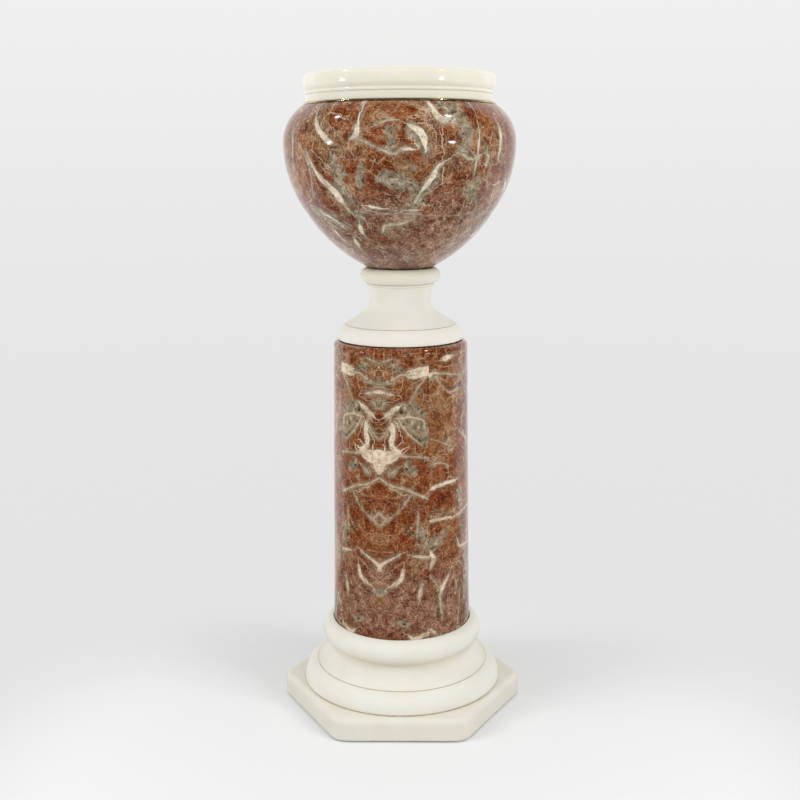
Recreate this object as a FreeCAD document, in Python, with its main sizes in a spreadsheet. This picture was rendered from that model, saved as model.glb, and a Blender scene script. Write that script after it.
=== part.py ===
import FreeCAD, Part
import math
import os
import Sketcher
from FreeCAD import Vector

# Jardiniere on a column stand: a round ceramic planter on a footed socle, which
# lifts off a ceramic column that is drawn down onto a moulded base and a
# six-sided plinth by one tie rod.
# Millimetres. +Z is up, the floor is z = 0, the axis of the column is the Z
# axis, and a flat side of the plinth faces -Y.

doc = FreeCAD.newDocument("jardiniere_on_stand")
sheet = doc.addObject("Spreadsheet::Sheet", "Sizes")


class Size:
    # A length as both a formula on the sheet's cells and its present number.
    def __init__(self, formula, number):
        self.formula = formula
        self.number = number

    def joined(self, sign, other, number):
        return Size("(" + self.formula + " " + sign + " " + other.formula + ")", number)

    def __add__(self, other):
        other = as_size(other)
        return self.joined("+", other, self.number + other.number)

    def __sub__(self, other):
        other = as_size(other)
        return self.joined("-", other, self.number - other.number)

    def __mul__(self, other):
        other = as_size(other)
        return self.joined("*", other, self.number * other.number)

    def __truediv__(self, other):
        other = as_size(other)
        return self.joined("/", other, self.number / other.number)

    def root(self):
        return Size("sqrt(" + self.formula + ")", math.sqrt(self.number))


def as_size(value):
    if isinstance(value, Size):
        return value
    return Size(repr(value), value)


cell_row = 0


def cell(alias, number, note):
    global cell_row
    cell_row += 1
    sheet.set("A%d" % cell_row, note)
    sheet.set("B%d" % cell_row, str(number))
    sheet.setAlias("B%d" % cell_row, alias)
    return Size("Sizes." + alias, number)


# Driving dimensions: floor pads and plinth
pad_radius = cell("pad_radius", 12, "radius of a floor pad")
pad_thickness = cell("pad_thickness", 4, "thickness of a floor pad")
pad_recess = cell("pad_recess", 1.5, "depth that a pad sits in the plinth")
pad_inset = cell("pad_inset", 9.5, "pad centres inside the circle within the plinth")
pad_clearance = cell("pad_clearance", 0.6, "space round a pad in its recess")
pad_count = 6
plinth_margin = cell("plinth_margin", 10, "plinth past the moulding at its flat sides")
plinth_thickness = cell("plinth_thickness", 33, "plinth thickness")
plinth_corner_round = cell("plinth_corner_round", 28, "rounding of the upright corners")
plinth_top_round = cell("plinth_top_round", 9, "rounding of the top edge")
plinth_foot_round = cell("plinth_foot_round", 1.5, "rounding of the bottom edge")

# Driving dimensions: tie rod and its hardware
rod_radius = cell("rod_radius", 5, "radius of the tie rod and the planter bolt")
rod_clearance = cell("rod_clearance", 1.5, "space round a rod in its hole")
nut_flats = cell("nut_flats", 17, "nut and bolt head across flats")
nut_height = cell("nut_height", 8, "nut height")
bolt_head_height = cell("bolt_head_height", 6.5, "bolt head height")
thread_play = cell("thread_play", 0.05, "gap between a thread and its nut")
washer_radius = cell("washer_radius", 15, "steel washer radius")
washer_thickness = cell("washer_thickness", 2, "steel washer thickness")
cushion_radius = cell("cushion_radius", 16.5, "rubber washer radius")
cushion_thickness = cell("cushion_thickness", 2, "rubber washer thickness")
rod_end = cell("rod_end", 3, "thread that stands past a nut")
counterbore_radius = cell("counterbore_radius", 19, "recess for the lower nut")
counterbore_depth = cell("counterbore_depth", 17, "depth of that recess")

# Driving dimensions: base moulding and its gilt ring
base_ring_height = cell("base_ring_height", 1.6, "gilt ring under the moulding")
base_ring_proud = cell("base_ring_proud", 0.8, "gilt ring past the moulding")
base_ring_width = cell("base_ring_width", 9, "radial width of the gilt ring")
ovolo_reach = cell("ovolo_reach", 20, "from the moulding's line out to its foot")
moulding_line_height = cell("moulding_line_height", 26.9, "height of that line")
scotia_reach = cell("scotia_reach", 23, "from the waist out to the line")
waist_proud = cell("waist_proud", 2.4, "waist under the torus past the column's seat")
torus_proud = cell("torus_proud", 15.4, "torus past the column's seat")
torus_height = cell("torus_height", 75.9, "height of the torus's widest line")
torus_round = cell("torus_round", 20, "radius of the torus's section")
moulding_wall = cell("moulding_wall", 9, "wall of the moulding")
recess_height = cell("recess_height", 80.9, "height of the column's seat")
moulding_hole_radius = cell("moulding_hole_radius", 30, "opening in the seat")

# Driving dimensions: column
gasket_thickness = cell("gasket_thickness", 1.5, "thickness of the three gaskets")
column_clearance = cell("column_clearance", 0.6, "space round the column's foot")
column_height = cell("column_height", 440, "column height")
column_foot_radius = cell("column_foot_radius", 104, "column radius at its foot")
column_taper = cell("column_taper", 5.8, "how much narrower it is under its lip")
column_lip_round = cell("column_lip_round", 9, "rounding of the column's lip")
column_wall = cell("column_wall", 9, "wall of the column")
column_bevel = cell("column_bevel", 8, "bevel inside under the deck")
dish_radius = cell("dish_radius", 62, "dish in the column's top")
dish_depth = cell("dish_depth", 8, "depth of the dish")

# Driving dimensions: socle
socle_clearance = cell("socle_clearance", 0.8, "space round the socle's spigot")
spigot_depth = cell("spigot_depth", 5, "spigot of the socle")
socle_overhang = cell("socle_overhang", 1.6, "socle past the flat of the column's lip")
socle_flange_inset = cell("socle_flange_inset", 10.5, "from its foot in to its lower line")
socle_flange_height = cell("socle_flange_height", 21.5, "height of the lower line")
socle_flange_round = cell("socle_flange_round", 28, "rounding of the flange")
socle_flare_radius = cell("socle_flare_radius", 52, "socle where the flare starts")
socle_flare_height = cell("socle_flare_height", 40.5, "height where it starts")
socle_flare_sweep = cell("socle_flare_sweep", 124, "radius of the flare's sweep")
socle_neck_radius = cell("socle_neck_radius", 43.9, "narrowest radius of the socle")
socle_neck_height = cell("socle_neck_height", 58, "height of the narrowest line")
socle_line_radius = cell("socle_line_radius", 48.9, "socle at its upper line")
socle_line_height = cell("socle_line_height", 80.4, "height of the upper line")
socle_disc_radius = cell("socle_disc_radius", 57.9, "widest radius of the top disc")
socle_disc_height = cell("socle_disc_height", 92.7, "height of that line")
socle_height = cell("socle_height", 102.5, "socle height over the column")
socle_wall = cell("socle_wall", 8, "wall of the socle")
socle_top_thickness = cell("socle_top_thickness", 10, "top of the socle")
socle_bell_height = cell("socle_bell_height", 12, "straight part of the hollow")

# Driving dimensions: bowl
bowl_overhang = cell("bowl_overhang", 0.4, "bowl past the flat of the socle's disc")
bowl_waist_radius = cell("bowl_waist_radius", 132.5, "bowl where belly meets base")
bowl_waist_height = cell("bowl_waist_height", 76.5, "height of that line")
bowl_belly_radius = cell("bowl_belly_radius", 164.5, "widest radius of the bowl")
bowl_belly_height = cell("bowl_belly_height", 173, "height of that line")
bowl_mouth_radius = cell("bowl_mouth_radius", 138, "bowl under the gilt ring")
bowl_mouth_land = cell("bowl_mouth_land", 18.5, "flat land on the bowl's mouth")
bowl_height = cell("bowl_height", 224, "bowl height")
bowl_lower_sweep = cell("bowl_lower_sweep", 212, "radius of the lower sweep")
bowl_wall = cell("bowl_wall", 9, "wall of the bowl")
bowl_floor = cell("bowl_floor", 10, "floor of the bowl")

# Driving dimensions: rim collar and its gilt ring
rim_lip_depth = cell("rim_lip_depth", 6, "register lip inside the mouth")
rim_clearance = cell("rim_clearance", 0.5, "space round the lip and spigot")
rim_ring_height = cell("rim_ring_height", 4, "height of the gilt ring")
rim_ring_inset = cell("rim_ring_inset", 2.5, "gilt ring inside the bowl's edge")
rim_neck_inset = cell("rim_neck_inset", 7, "collar's neck inside the bowl's edge")
rim_ring_groove = cell("rim_ring_groove", 4.5, "collar cut back inside the gilt ring")
rim_fillet_height = cell("rim_fillet_height", 14, "bottom of the small fillet")
rim_fillet_width = cell("rim_fillet_width", 5, "height of the small fillet")
rim_fillet_proud = cell("rim_fillet_proud", 1.6, "small fillet past the neck")
rim_bead_proud = cell("rim_bead_proud", 3.7, "bead past the neck")
rim_bead_height = cell("rim_bead_height", 28, "where the bead turns upright")
rim_bead_round = cell("rim_bead_round", 8, "rounding of the bead's top")
rim_height = cell("rim_height", 43.5, "collar height over the bowl")
rim_lip_wall = cell("rim_lip_wall", 6.5, "wall of the register lip")
rim_mouth_round = cell("rim_mouth_round", 5.5, "rounding inside the mouth")


def square(value):
    return value * value


def upright_round(reach, rise):
    # Radius of an arc that spans reach and rise and ends upright.
    return (square(reach) + square(rise)) / (reach * 2)


# Heights of the seats, each worked out from what stands under it
plinth_seat = pad_thickness - pad_recess
ring_seat = plinth_seat + plinth_thickness
moulding_seat = ring_seat + base_ring_height
column_gasket_seat = moulding_seat + recess_height
column_seat = column_gasket_seat + gasket_thickness
top_gasket_seat = column_seat + column_height
socle_seat = top_gasket_seat + gasket_thickness
bowl_gasket_seat = socle_seat + socle_height
bowl_seat = bowl_gasket_seat + gasket_thickness
rim_seat = bowl_seat + bowl_height

# Radii that follow from the column's foot, up to the planter's mouth and down to the pads
rod_hole_radius = rod_radius + rod_clearance
recess_radius = column_foot_radius + column_clearance
moulding_waist_radius = recess_radius + waist_proud
moulding_line_radius = moulding_waist_radius + scotia_reach
moulding_foot_radius = moulding_line_radius + ovolo_reach
torus_radius = recess_radius + torus_proud
plinth_flats = (moulding_foot_radius + plinth_margin) * 2
pad_circle_radius = plinth_flats / 2 - pad_inset
column_top_radius = column_foot_radius - column_taper
column_lip_flat = column_top_radius - column_lip_round
socle_foot_radius = column_lip_flat + socle_overhang
socle_flange_radius = socle_foot_radius - socle_flange_inset
socle_disc_flat = socle_disc_radius - (socle_height - socle_disc_height)
bowl_foot_radius = socle_disc_flat + bowl_overhang
bowl_mouth_inner = bowl_mouth_radius - bowl_mouth_land
rim_lip_radius = bowl_mouth_inner - rim_clearance
rim_mouth_radius = rim_lip_radius - rim_lip_wall
rim_ring_radius = bowl_mouth_radius - rim_ring_inset
rim_neck_radius = bowl_mouth_radius - rim_neck_inset
rim_spigot_radius = rim_neck_radius - rim_ring_groove
rim_bead_radius = rim_neck_radius + rim_bead_proud

# Edges closer than this in height count as level with each other
same_height = 0.001


# An outline runs anticlockwise in (radius, height), so the solid lies on its
# left. "swell" turns left, away from the solid, and "hollow" turns right.
def line(radius, height):
    return (as_size(radius), as_size(height), None, 0)


def swell(radius, height, arc_radius):
    return (as_size(radius), as_size(height), arc_radius, 1)


def hollow(radius, height, arc_radius):
    return (as_size(radius), as_size(height), arc_radius, -1)


def origin_feature(body, role):
    for feature in body.Origin.OriginFeatures:
        if feature.Role == role:
            return feature
    raise ValueError(role)


def attached_sketch(body, name, role):
    sketch = body.newObject("Sketcher::SketchObject", name)
    sketch.AttachmentSupport = [(origin_feature(body, role), "")]
    sketch.MapMode = "FlatFace"
    return sketch


def arc_between(start, end, radius, turn):
    chord = end - start
    middle = (start + end) * 0.5
    left = Vector(-chord.y, chord.x, 0).normalize()
    rise = math.sqrt(radius * radius - chord.Length * chord.Length / 4)
    centre = middle + left * (rise * turn)
    first, last = (start, end) if turn > 0 else (end, start)
    first_angle = math.atan2(first.y - centre.y, first.x - centre.x)
    last_angle = math.atan2(last.y - centre.y, last.x - centre.x)
    if last_angle < first_angle:
        last_angle += 2 * math.pi
    circle = Part.Circle(centre, Vector(0, 0, 1), radius)
    return Part.ArcOfCircle(circle, first_angle, last_angle)


def bound(sketch, constraint, formula):
    index = sketch.addConstraint(constraint)
    sketch.setExpression("Constraints[%d]" % index, formula)


def hold_point(sketch, edge, end, radius, height):
    # Ties one corner of an outline to its radius and height.
    if radius.formula == "0":
        sketch.addConstraint(Sketcher.Constraint("PointOnObject", edge, end, -2))
    else:
        held = Sketcher.Constraint("DistanceX", -1, 1, edge, end, radius.number)
        bound(sketch, held, radius.formula)
    if height.formula == "0":
        sketch.addConstraint(Sketcher.Constraint("PointOnObject", edge, end, -1))
    else:
        held = Sketcher.Constraint("DistanceY", -1, 1, edge, end, height.number)
        bound(sketch, held, height.formula)


def draw_outline(sketch, outline):
    corners = [Vector(step[0].number, step[1].number, 0) for step in outline]
    ends = []
    for index, (radius, height, arc_radius, turn) in enumerate(outline):
        start, end = corners[index - 1], corners[index]
        if arc_radius is None:
            edge = sketch.addGeometry(Part.LineSegment(start, end), False)
            ends.append((edge, 1, 2))
            continue
        arc = arc_between(start, end, arc_radius.number, turn)
        edge = sketch.addGeometry(arc, False)
        ends.append((edge, 1, 2) if turn > 0 else (edge, 2, 1))
        held = Sketcher.Constraint("Radius", edge, arc_radius.number)
        bound(sketch, held, arc_radius.formula)
    for index, (edge, start, end) in enumerate(ends):
        following, following_start, following_end = ends[(index + 1) % len(ends)]
        joined = Sketcher.Constraint("Coincident", edge, end, following, following_start)
        sketch.addConstraint(joined)
        radius, height, arc_radius, turn = outline[index]
        hold_point(sketch, edge, end, radius, height)


def place(piece, seat):
    piece.setExpression("Placement.Base.z", seat.formula)


def turned(name, seat, outline):
    # A piece of revolution about the Z axis, standing at the given height.
    body = doc.addObject("PartDesign::Body", name)
    sketch = attached_sketch(body, name + "_outline", "XZ_Plane")
    draw_outline(sketch, outline)
    turning = body.newObject("PartDesign::Revolution", name + "_turning")
    turning.Profile = sketch
    turning.ReferenceAxis = (sketch, ["V_Axis"])
    turning.Angle = 360
    sketch.Visibility = False
    place(body, seat)
    return body


def flat_ring(name, seat, inner_radius, outer_radius, thickness):
    outline = [
        line(inner_radius, 0),
        line(outer_radius, 0),
        line(outer_radius, thickness),
        line(inner_radius, thickness),
    ]
    return turned(name, seat, outline)


def hexagon_prism(body, name, flats, height):
    prism = body.newObject("PartDesign::AdditivePrism", name)
    prism.Polygon = 6
    prism.setExpression("Circumradius", (flats / math.sqrt(3)).formula)
    prism.setExpression("Height", height.formula)
    return prism


def drilled(body, name, radius, depth, at_radius=None):
    # A round hole cut upwards from the underside of the body.
    sketch = attached_sketch(body, name + "_circle", "XY_Plane")
    start = Vector(at_radius.number if at_radius else 0, 0, 0)
    rim = sketch.addGeometry(Part.Circle(start, Vector(0, 0, 1), radius.number), False)
    bound(sketch, Sketcher.Constraint("Radius", rim, radius.number), radius.formula)
    sketch.addConstraint(Sketcher.Constraint("PointOnObject", rim, 3, -1))
    if at_radius:
        held = Sketcher.Constraint("DistanceX", -1, 1, rim, 3, at_radius.number)
        bound(sketch, held, at_radius.formula)
    else:
        sketch.addConstraint(Sketcher.Constraint("PointOnObject", rim, 3, -2))
    before = body.Shape.Volume
    pocket = body.newObject("PartDesign::Pocket", name)
    pocket.Profile = sketch
    pocket.Reversed = True
    pocket.setExpression("Length", depth.formula)
    sketch.Visibility = False
    doc.recompute()
    if body.Shape.Volume >= before:
        raise ValueError(name + " cut nothing")
    return pocket


def hexagon_nut(name, seat, height):
    body = doc.addObject("PartDesign::Body", name)
    hexagon_prism(body, name + "_block", nut_flats, height)
    doc.recompute()
    drilled(body, name + "_bore", rod_radius + thread_play, height)
    place(body, seat)
    return body


def rounded_edges(body, name, radius, wanted):
    base = body.Tip
    chosen = []
    for index, edge in enumerate(base.Shape.Edges):
        if wanted(edge):
            chosen.append("Edge%d" % (index + 1))
    fillet = body.newObject("PartDesign::Fillet", name)
    fillet.Base = (base, chosen)
    fillet.setExpression("Radius", radius.formula)
    doc.recompute()
    return fillet


def is_upright(edge):
    box = edge.BoundBox
    return box.ZLength > box.XLength + box.YLength


def lies_at(height):
    def wanted(edge):
        box = edge.BoundBox
        return max(abs(box.ZMin - height), abs(box.ZMax - height)) < same_height
    return wanted


def make_plinth():
    body = doc.addObject("PartDesign::Body", "plinth")
    hexagon_prism(body, "plinth_block", plinth_flats, plinth_thickness)
    doc.recompute()
    rounded_edges(body, "plinth_corners", plinth_corner_round, is_upright)
    rounded_edges(body, "plinth_top_edge", plinth_top_round, lies_at(plinth_thickness.number))
    rounded_edges(body, "plinth_foot_edge", plinth_foot_round, lies_at(0))
    drilled(body, "plinth_rod_hole", rod_hole_radius, plinth_thickness)
    drilled(body, "plinth_counterbore", counterbore_radius, counterbore_depth)
    recess = drilled(body, "plinth_pad_recess", pad_radius + pad_clearance, pad_recess,
                     pad_circle_radius)
    pattern = body.newObject("PartDesign::PolarPattern", "plinth_pad_recesses")
    pattern.Originals = [recess]
    pattern.Axis = (origin_feature(body, "Z_Axis"), [""])
    pattern.Angle = 360
    pattern.Occurrences = pad_count
    body.Tip = pattern
    place(body, plinth_seat)
    return body


def make_foot_pads():
    pads = []
    for index in range(pad_count):
        name = "foot_pad_%d" % (index + 1)
        pad = doc.addObject("Part::Cylinder", name)
        pad.setExpression("Radius", pad_radius.formula)
        pad.setExpression("Height", pad_thickness.formula)
        turn = 2 * math.pi * index / pad_count
        pad.setExpression("Placement.Base.x", (pad_circle_radius * math.cos(turn)).formula)
        pad.setExpression("Placement.Base.y", (pad_circle_radius * math.sin(turn)).formula)
        pads.append(pad)
    return grouped("foot_pads", pads)


def grouped(name, pieces):
    group = doc.addObject("Part::Compound", name)
    group.Links = pieces
    return group


def make_base_ring():
    outer = moulding_foot_radius + base_ring_proud
    return flat_ring("base_gilt_ring", ring_seat, outer - base_ring_width, outer, base_ring_height)


def make_base_moulding():
    torus_centre = torus_radius - torus_round
    waist_drop = square(torus_round) - square(moulding_waist_radius - torus_centre)
    waist_height = torus_height - waist_drop.root()
    top_rise = square(torus_round) - square(recess_radius - torus_centre)
    top_height = torus_height + top_rise.root()
    ovolo = upright_round(moulding_foot_radius - moulding_line_radius, moulding_line_height)
    scotia = upright_round(moulding_line_radius - moulding_waist_radius,
                           waist_height - moulding_line_height)
    inner_scotia = scotia + moulding_wall
    inner_foot = moulding_line_radius - moulding_wall
    inner_waist = moulding_waist_radius - moulding_wall
    inner_drop = square(inner_scotia) - square(moulding_waist_radius + scotia - inner_foot)
    outline = [
        line(inner_foot, 0),
        line(moulding_foot_radius, 0),
        swell(moulding_line_radius, moulding_line_height, ovolo),
        hollow(moulding_waist_radius, waist_height, scotia),
        swell(torus_radius, torus_height, torus_round),
        swell(recess_radius, top_height, torus_round),
        line(recess_radius, recess_height),
        line(moulding_hole_radius, recess_height),
        line(moulding_hole_radius, recess_height - moulding_wall),
        line(inner_waist, recess_height - moulding_wall),
        line(inner_waist, waist_height),
        swell(inner_foot, waist_height - inner_drop.root(), inner_scotia),
    ]
    return turned("base_moulding", moulding_seat, outline)


def make_column_shell():
    deck = column_height - dish_depth - column_wall
    outline = [
        line(column_foot_radius - column_wall, 0),
        line(column_foot_radius, 0),
        line(column_top_radius, column_height - column_lip_round),
        swell(column_lip_flat, column_height, column_lip_round),
        line(dish_radius, column_height),
        line(dish_radius, column_height - dish_depth),
        line(rod_hole_radius, column_height - dish_depth),
        line(rod_hole_radius, deck),
        line(column_top_radius - column_wall - column_bevel, deck),
        line(column_top_radius - column_wall, deck - column_bevel),
    ]
    return turned("column_shell", column_seat, outline)


def make_socle():
    spigot_radius = dish_radius - socle_clearance
    bell_radius = spigot_radius - socle_wall
    inner_neck = socle_neck_radius - socle_wall
    neck_round = upright_round(socle_flare_radius - socle_neck_radius,
                               socle_neck_height - socle_flare_height)
    throat_round = upright_round(socle_line_radius - socle_neck_radius,
                                 socle_line_height - socle_neck_height)
    disc_round = upright_round(socle_disc_radius - socle_line_radius,
                               socle_disc_height - socle_line_height)
    disc_top = socle_height - socle_disc_height
    ceiling = spigot_depth + socle_height - socle_top_thickness
    outline = [
        line(bell_radius, 0),
        line(spigot_radius, 0),
        line(spigot_radius, spigot_depth),
        line(socle_foot_radius, spigot_depth),
        swell(socle_flange_radius, spigot_depth + socle_flange_height, socle_flange_round),
        hollow(socle_flare_radius, spigot_depth + socle_flare_height, socle_flare_sweep),
        hollow(socle_neck_radius, spigot_depth + socle_neck_height, neck_round),
        hollow(socle_line_radius, spigot_depth + socle_line_height, throat_round),
        swell(socle_disc_radius, spigot_depth + socle_disc_height, disc_round),
        swell(socle_disc_radius - disc_top, spigot_depth + socle_height, disc_top),
        line(rod_hole_radius, spigot_depth + socle_height),
        line(rod_hole_radius, ceiling),
        line(inner_neck, ceiling),
        line(inner_neck, spigot_depth + socle_neck_height),
        line(bell_radius, spigot_depth + socle_bell_height),
    ]
    return turned("socle", socle_seat - spigot_depth, outline)


def make_bowl():
    belly_round = upright_round(bowl_belly_radius - bowl_waist_radius,
                                bowl_belly_height - bowl_waist_height)
    shoulder_round = upright_round(bowl_belly_radius - bowl_mouth_radius,
                                   bowl_height - bowl_belly_height)
    inner_belly = bowl_belly_radius - bowl_wall
    belly_centre = bowl_belly_radius - belly_round
    lean_in = bowl_wall * (bowl_waist_radius - belly_centre) / belly_round
    lean_up = bowl_wall * (bowl_belly_height - bowl_waist_height) / belly_round
    inner_waist = bowl_waist_radius - lean_in
    inner_waist_height = bowl_waist_height + lean_up
    inner_shoulder_round = upright_round(inner_belly - bowl_mouth_inner,
                                         bowl_height - bowl_belly_height)
    inner_belly_round = upright_round(inner_belly - inner_waist,
                                      bowl_belly_height - inner_waist_height)
    outline = [
        line(rod_hole_radius, 0),
        line(bowl_foot_radius, 0),
        swell(bowl_waist_radius, bowl_waist_height, bowl_lower_sweep),
        swell(bowl_belly_radius, bowl_belly_height, belly_round),
        swell(bowl_mouth_radius, bowl_height, shoulder_round),
        line(bowl_mouth_inner, bowl_height),
        hollow(inner_belly, bowl_belly_height, inner_shoulder_round),
        hollow(inner_waist, inner_waist_height, inner_belly_round),
        hollow(bowl_foot_radius, bowl_floor, bowl_lower_sweep - bowl_wall),
        line(rod_hole_radius, bowl_floor),
    ]
    return turned("bowl", bowl_seat, outline)


def make_rim_ring():
    inner_radius = rim_spigot_radius + rim_clearance
    half = rim_ring_height / 2
    outline = [
        line(inner_radius, 0),
        line(rim_ring_radius - half, 0),
        swell(rim_ring_radius, half, half),
        swell(rim_ring_radius - half, rim_ring_height, half),
        line(inner_radius, rim_ring_height),
    ]
    return turned("rim_gilt_ring", rim_seat, outline)


def make_rim_collar():
    fillet_low = rim_lip_depth + rim_fillet_height
    fillet_middle = fillet_low + rim_fillet_width / 2
    fillet_high = fillet_low + rim_fillet_width
    fillet_radius = rim_neck_radius + rim_fillet_proud
    fillet_round = upright_round(rim_fillet_proud, rim_fillet_width / 2)
    bead_low = rim_lip_depth + rim_bead_height
    bead_round = upright_round(rim_bead_radius - rim_neck_radius, bead_low - fillet_high)
    top = rim_lip_depth + rim_height
    outline = [
        line(rim_mouth_radius, 0),
        line(rim_lip_radius, 0),
        line(rim_lip_radius, rim_lip_depth),
        line(rim_spigot_radius, rim_lip_depth),
        line(rim_spigot_radius, rim_lip_depth + rim_ring_height),
        line(rim_neck_radius, rim_lip_depth + rim_ring_height),
        line(rim_neck_radius, fillet_low),
        swell(fillet_radius, fillet_middle, fillet_round),
        swell(rim_neck_radius, fillet_high, fillet_round),
        swell(rim_bead_radius, bead_low, bead_round),
        line(rim_bead_radius, top - rim_bead_round),
        swell(rim_bead_radius - rim_bead_round, top, rim_bead_round),
        line(rim_mouth_radius + rim_mouth_round, top),
        swell(rim_mouth_radius, top - rim_mouth_round, rim_mouth_round),
    ]
    return turned("rim_collar", rim_seat - rim_lip_depth, outline)


def make_tie_rod():
    lower_end = plinth_seat + counterbore_depth - cushion_thickness - washer_thickness
    lower_end = lower_end - nut_height - rod_end
    upper_end = top_gasket_seat - dish_depth + cushion_thickness + washer_thickness
    upper_end = upper_end + nut_height + rod_end
    rod = doc.addObject("Part::Cylinder", "tie_rod")
    rod.setExpression("Radius", rod_radius.formula)
    rod.setExpression("Height", (upper_end - lower_end).formula)
    place(rod, lower_end)
    return rod


def clamped_stack(name, face, away, height):
    # Rubber washer, steel washer and nut on a face; away is +1 up or -1 down.
    hole = rod_hole_radius
    cushion_seat = face if away > 0 else face - cushion_thickness
    washer_seat = face + cushion_thickness if away > 0 else cushion_seat - washer_thickness
    nut_seat = washer_seat + washer_thickness if away > 0 else washer_seat - height
    cushion = flat_ring(name + "_cushion", cushion_seat, hole, cushion_radius, cushion_thickness)
    washer = flat_ring(name + "_washer", washer_seat, hole, washer_radius, washer_thickness)
    return cushion, washer, nut_seat


def make_rod_hardware():
    lower_face = plinth_seat + counterbore_depth
    upper_face = top_gasket_seat - dish_depth
    lower = clamped_stack("lower_rod", lower_face, -1, nut_height)
    upper = clamped_stack("upper_rod", upper_face, 1, nut_height)
    nuts = [
        hexagon_nut("lower_rod_nut", lower[2], nut_height),
        hexagon_nut("upper_rod_nut", upper[2], nut_height),
    ]
    return [
        grouped("tie_rod_nuts", nuts),
        grouped("tie_rod_washers", [lower[1], upper[1]]),
        grouped("tie_rod_cushions", [lower[0], upper[0]]),
    ]


def make_planter_bolt(head_seat, shank_end):
    body = doc.addObject("PartDesign::Body", "planter_bolt")
    shank = body.newObject("PartDesign::AdditiveCylinder", "planter_bolt_shank")
    shank.setExpression("Radius", rod_radius.formula)
    shank.setExpression("Height", (head_seat - shank_end).formula)
    head = hexagon_prism(body, "planter_bolt_head", nut_flats, bolt_head_height)
    head.AttachmentSupport = [(origin_feature(body, "XY_Plane"), "")]
    head.MapMode = "FlatFace"
    head.setExpression("AttachmentOffset.Base.z", (head_seat - shank_end).formula)
    place(body, shank_end)
    return body


def make_bolt_hardware():
    lower_face = bowl_gasket_seat - socle_top_thickness
    upper_face = bowl_seat + bowl_floor
    lower = clamped_stack("lower_bolt", lower_face, -1, nut_height)
    upper = clamped_stack("upper_bolt", upper_face, 1, bolt_head_height)
    return [
        make_planter_bolt(upper[2], lower[2] - rod_end),
        hexagon_nut("planter_bolt_nut", lower[2], nut_height),
        grouped("planter_bolt_washers", [lower[1], upper[1]]),
        grouped("planter_bolt_seals", [lower[0], upper[0]]),
    ]


def make_gaskets():
    column_inner = column_foot_radius - column_wall
    return [
        flat_ring("column_foot_gasket", column_gasket_seat, column_inner, column_foot_radius,
                  gasket_thickness),
        flat_ring("column_top_gasket", top_gasket_seat, dish_radius, column_lip_flat,
                  gasket_thickness),
        flat_ring("bowl_foot_gasket", bowl_gasket_seat, rod_hole_radius, socle_disc_flat,
                  gasket_thickness),
    ]


nodes = [
    make_foot_pads(),
    make_plinth(),
    make_base_ring(),
    make_base_moulding(),
    make_column_shell(),
    make_tie_rod(),
    make_socle(),
    make_bowl(),
    make_rim_ring(),
    make_rim_collar(),
]
nodes += make_rod_hardware()
nodes += make_bolt_hardware()
nodes += make_gaskets()

doc.recompute()

for piece in doc.Objects:
    if "Invalid" in piece.State or "Error" in piece.State:
        raise RuntimeError(piece.Name + " failed: " + ", ".join(piece.State))
for node in nodes:
    if node.Shape.isNull() or not node.Shape.isValid():
        raise RuntimeError(node.Label + " has no valid shape")

os.makedirs("parts", exist_ok=True)
for node in nodes:
    node.Shape.exportStep("parts/" + node.Label + ".step")
    box = node.Shape.optimalBoundingBox()
    print("%-22s %2d solid  z %7.2f to %7.2f  volume %9.1f"
          % (node.Label, len(node.Shape.Solids), box.ZMin, box.ZMax, node.Shape.Volume))
print(len(nodes), "nodes written")
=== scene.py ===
import math
import random
import bpy
import numpy as np
from mathutils import Matrix, Vector, noise


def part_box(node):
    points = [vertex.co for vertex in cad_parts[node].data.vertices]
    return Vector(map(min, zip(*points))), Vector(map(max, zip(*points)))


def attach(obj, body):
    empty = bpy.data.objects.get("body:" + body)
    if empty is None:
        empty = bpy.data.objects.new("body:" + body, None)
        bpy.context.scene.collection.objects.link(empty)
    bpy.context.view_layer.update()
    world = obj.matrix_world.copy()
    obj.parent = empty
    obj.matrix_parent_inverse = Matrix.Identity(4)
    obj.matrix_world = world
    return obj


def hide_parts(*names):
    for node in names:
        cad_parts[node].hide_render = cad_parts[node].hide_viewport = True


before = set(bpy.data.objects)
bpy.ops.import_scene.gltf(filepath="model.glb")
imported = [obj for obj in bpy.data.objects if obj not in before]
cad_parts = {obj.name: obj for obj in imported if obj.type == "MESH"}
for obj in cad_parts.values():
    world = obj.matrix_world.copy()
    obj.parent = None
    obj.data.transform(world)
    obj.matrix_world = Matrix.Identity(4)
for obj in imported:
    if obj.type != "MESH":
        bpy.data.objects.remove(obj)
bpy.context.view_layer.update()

scene = bpy.context.scene
mm = 0.001
print("frame loaded:", len(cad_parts), "nodes")


# Camera, floor and light

cameraSet = {
    "lens": 50.16,          # on a 36 mm sensor
    "distance": 1.6162,     # from the column's axis
    "height": 0.81,
    "pitch": 11.975,        # degrees down
    "around": 1.0,          # degrees round from the front towards +X
    "roll": -0.27,
    "sideStep": -0.0011,
}


def makeCamera():
    data = bpy.data.cameras.new("camera")
    data.lens = cameraSet["lens"]
    data.sensor_width = 36
    data.clip_start = 0.05
    data.clip_end = 60
    camera = bpy.data.objects.new("camera", data)
    scene.collection.objects.link(camera)
    turn = Matrix.Rotation(math.radians(cameraSet["around"]), 4, "Z")
    place = Matrix.Translation((cameraSet["sideStep"], -cameraSet["distance"], cameraSet["height"]))
    tilt = Matrix.Rotation(math.radians(90 - cameraSet["pitch"]), 4, "X")
    roll = Matrix.Rotation(math.radians(cameraSet["roll"]), 4, "Z")
    camera.matrix_world = turn @ place @ tilt @ roll
    scene.camera = camera


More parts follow.
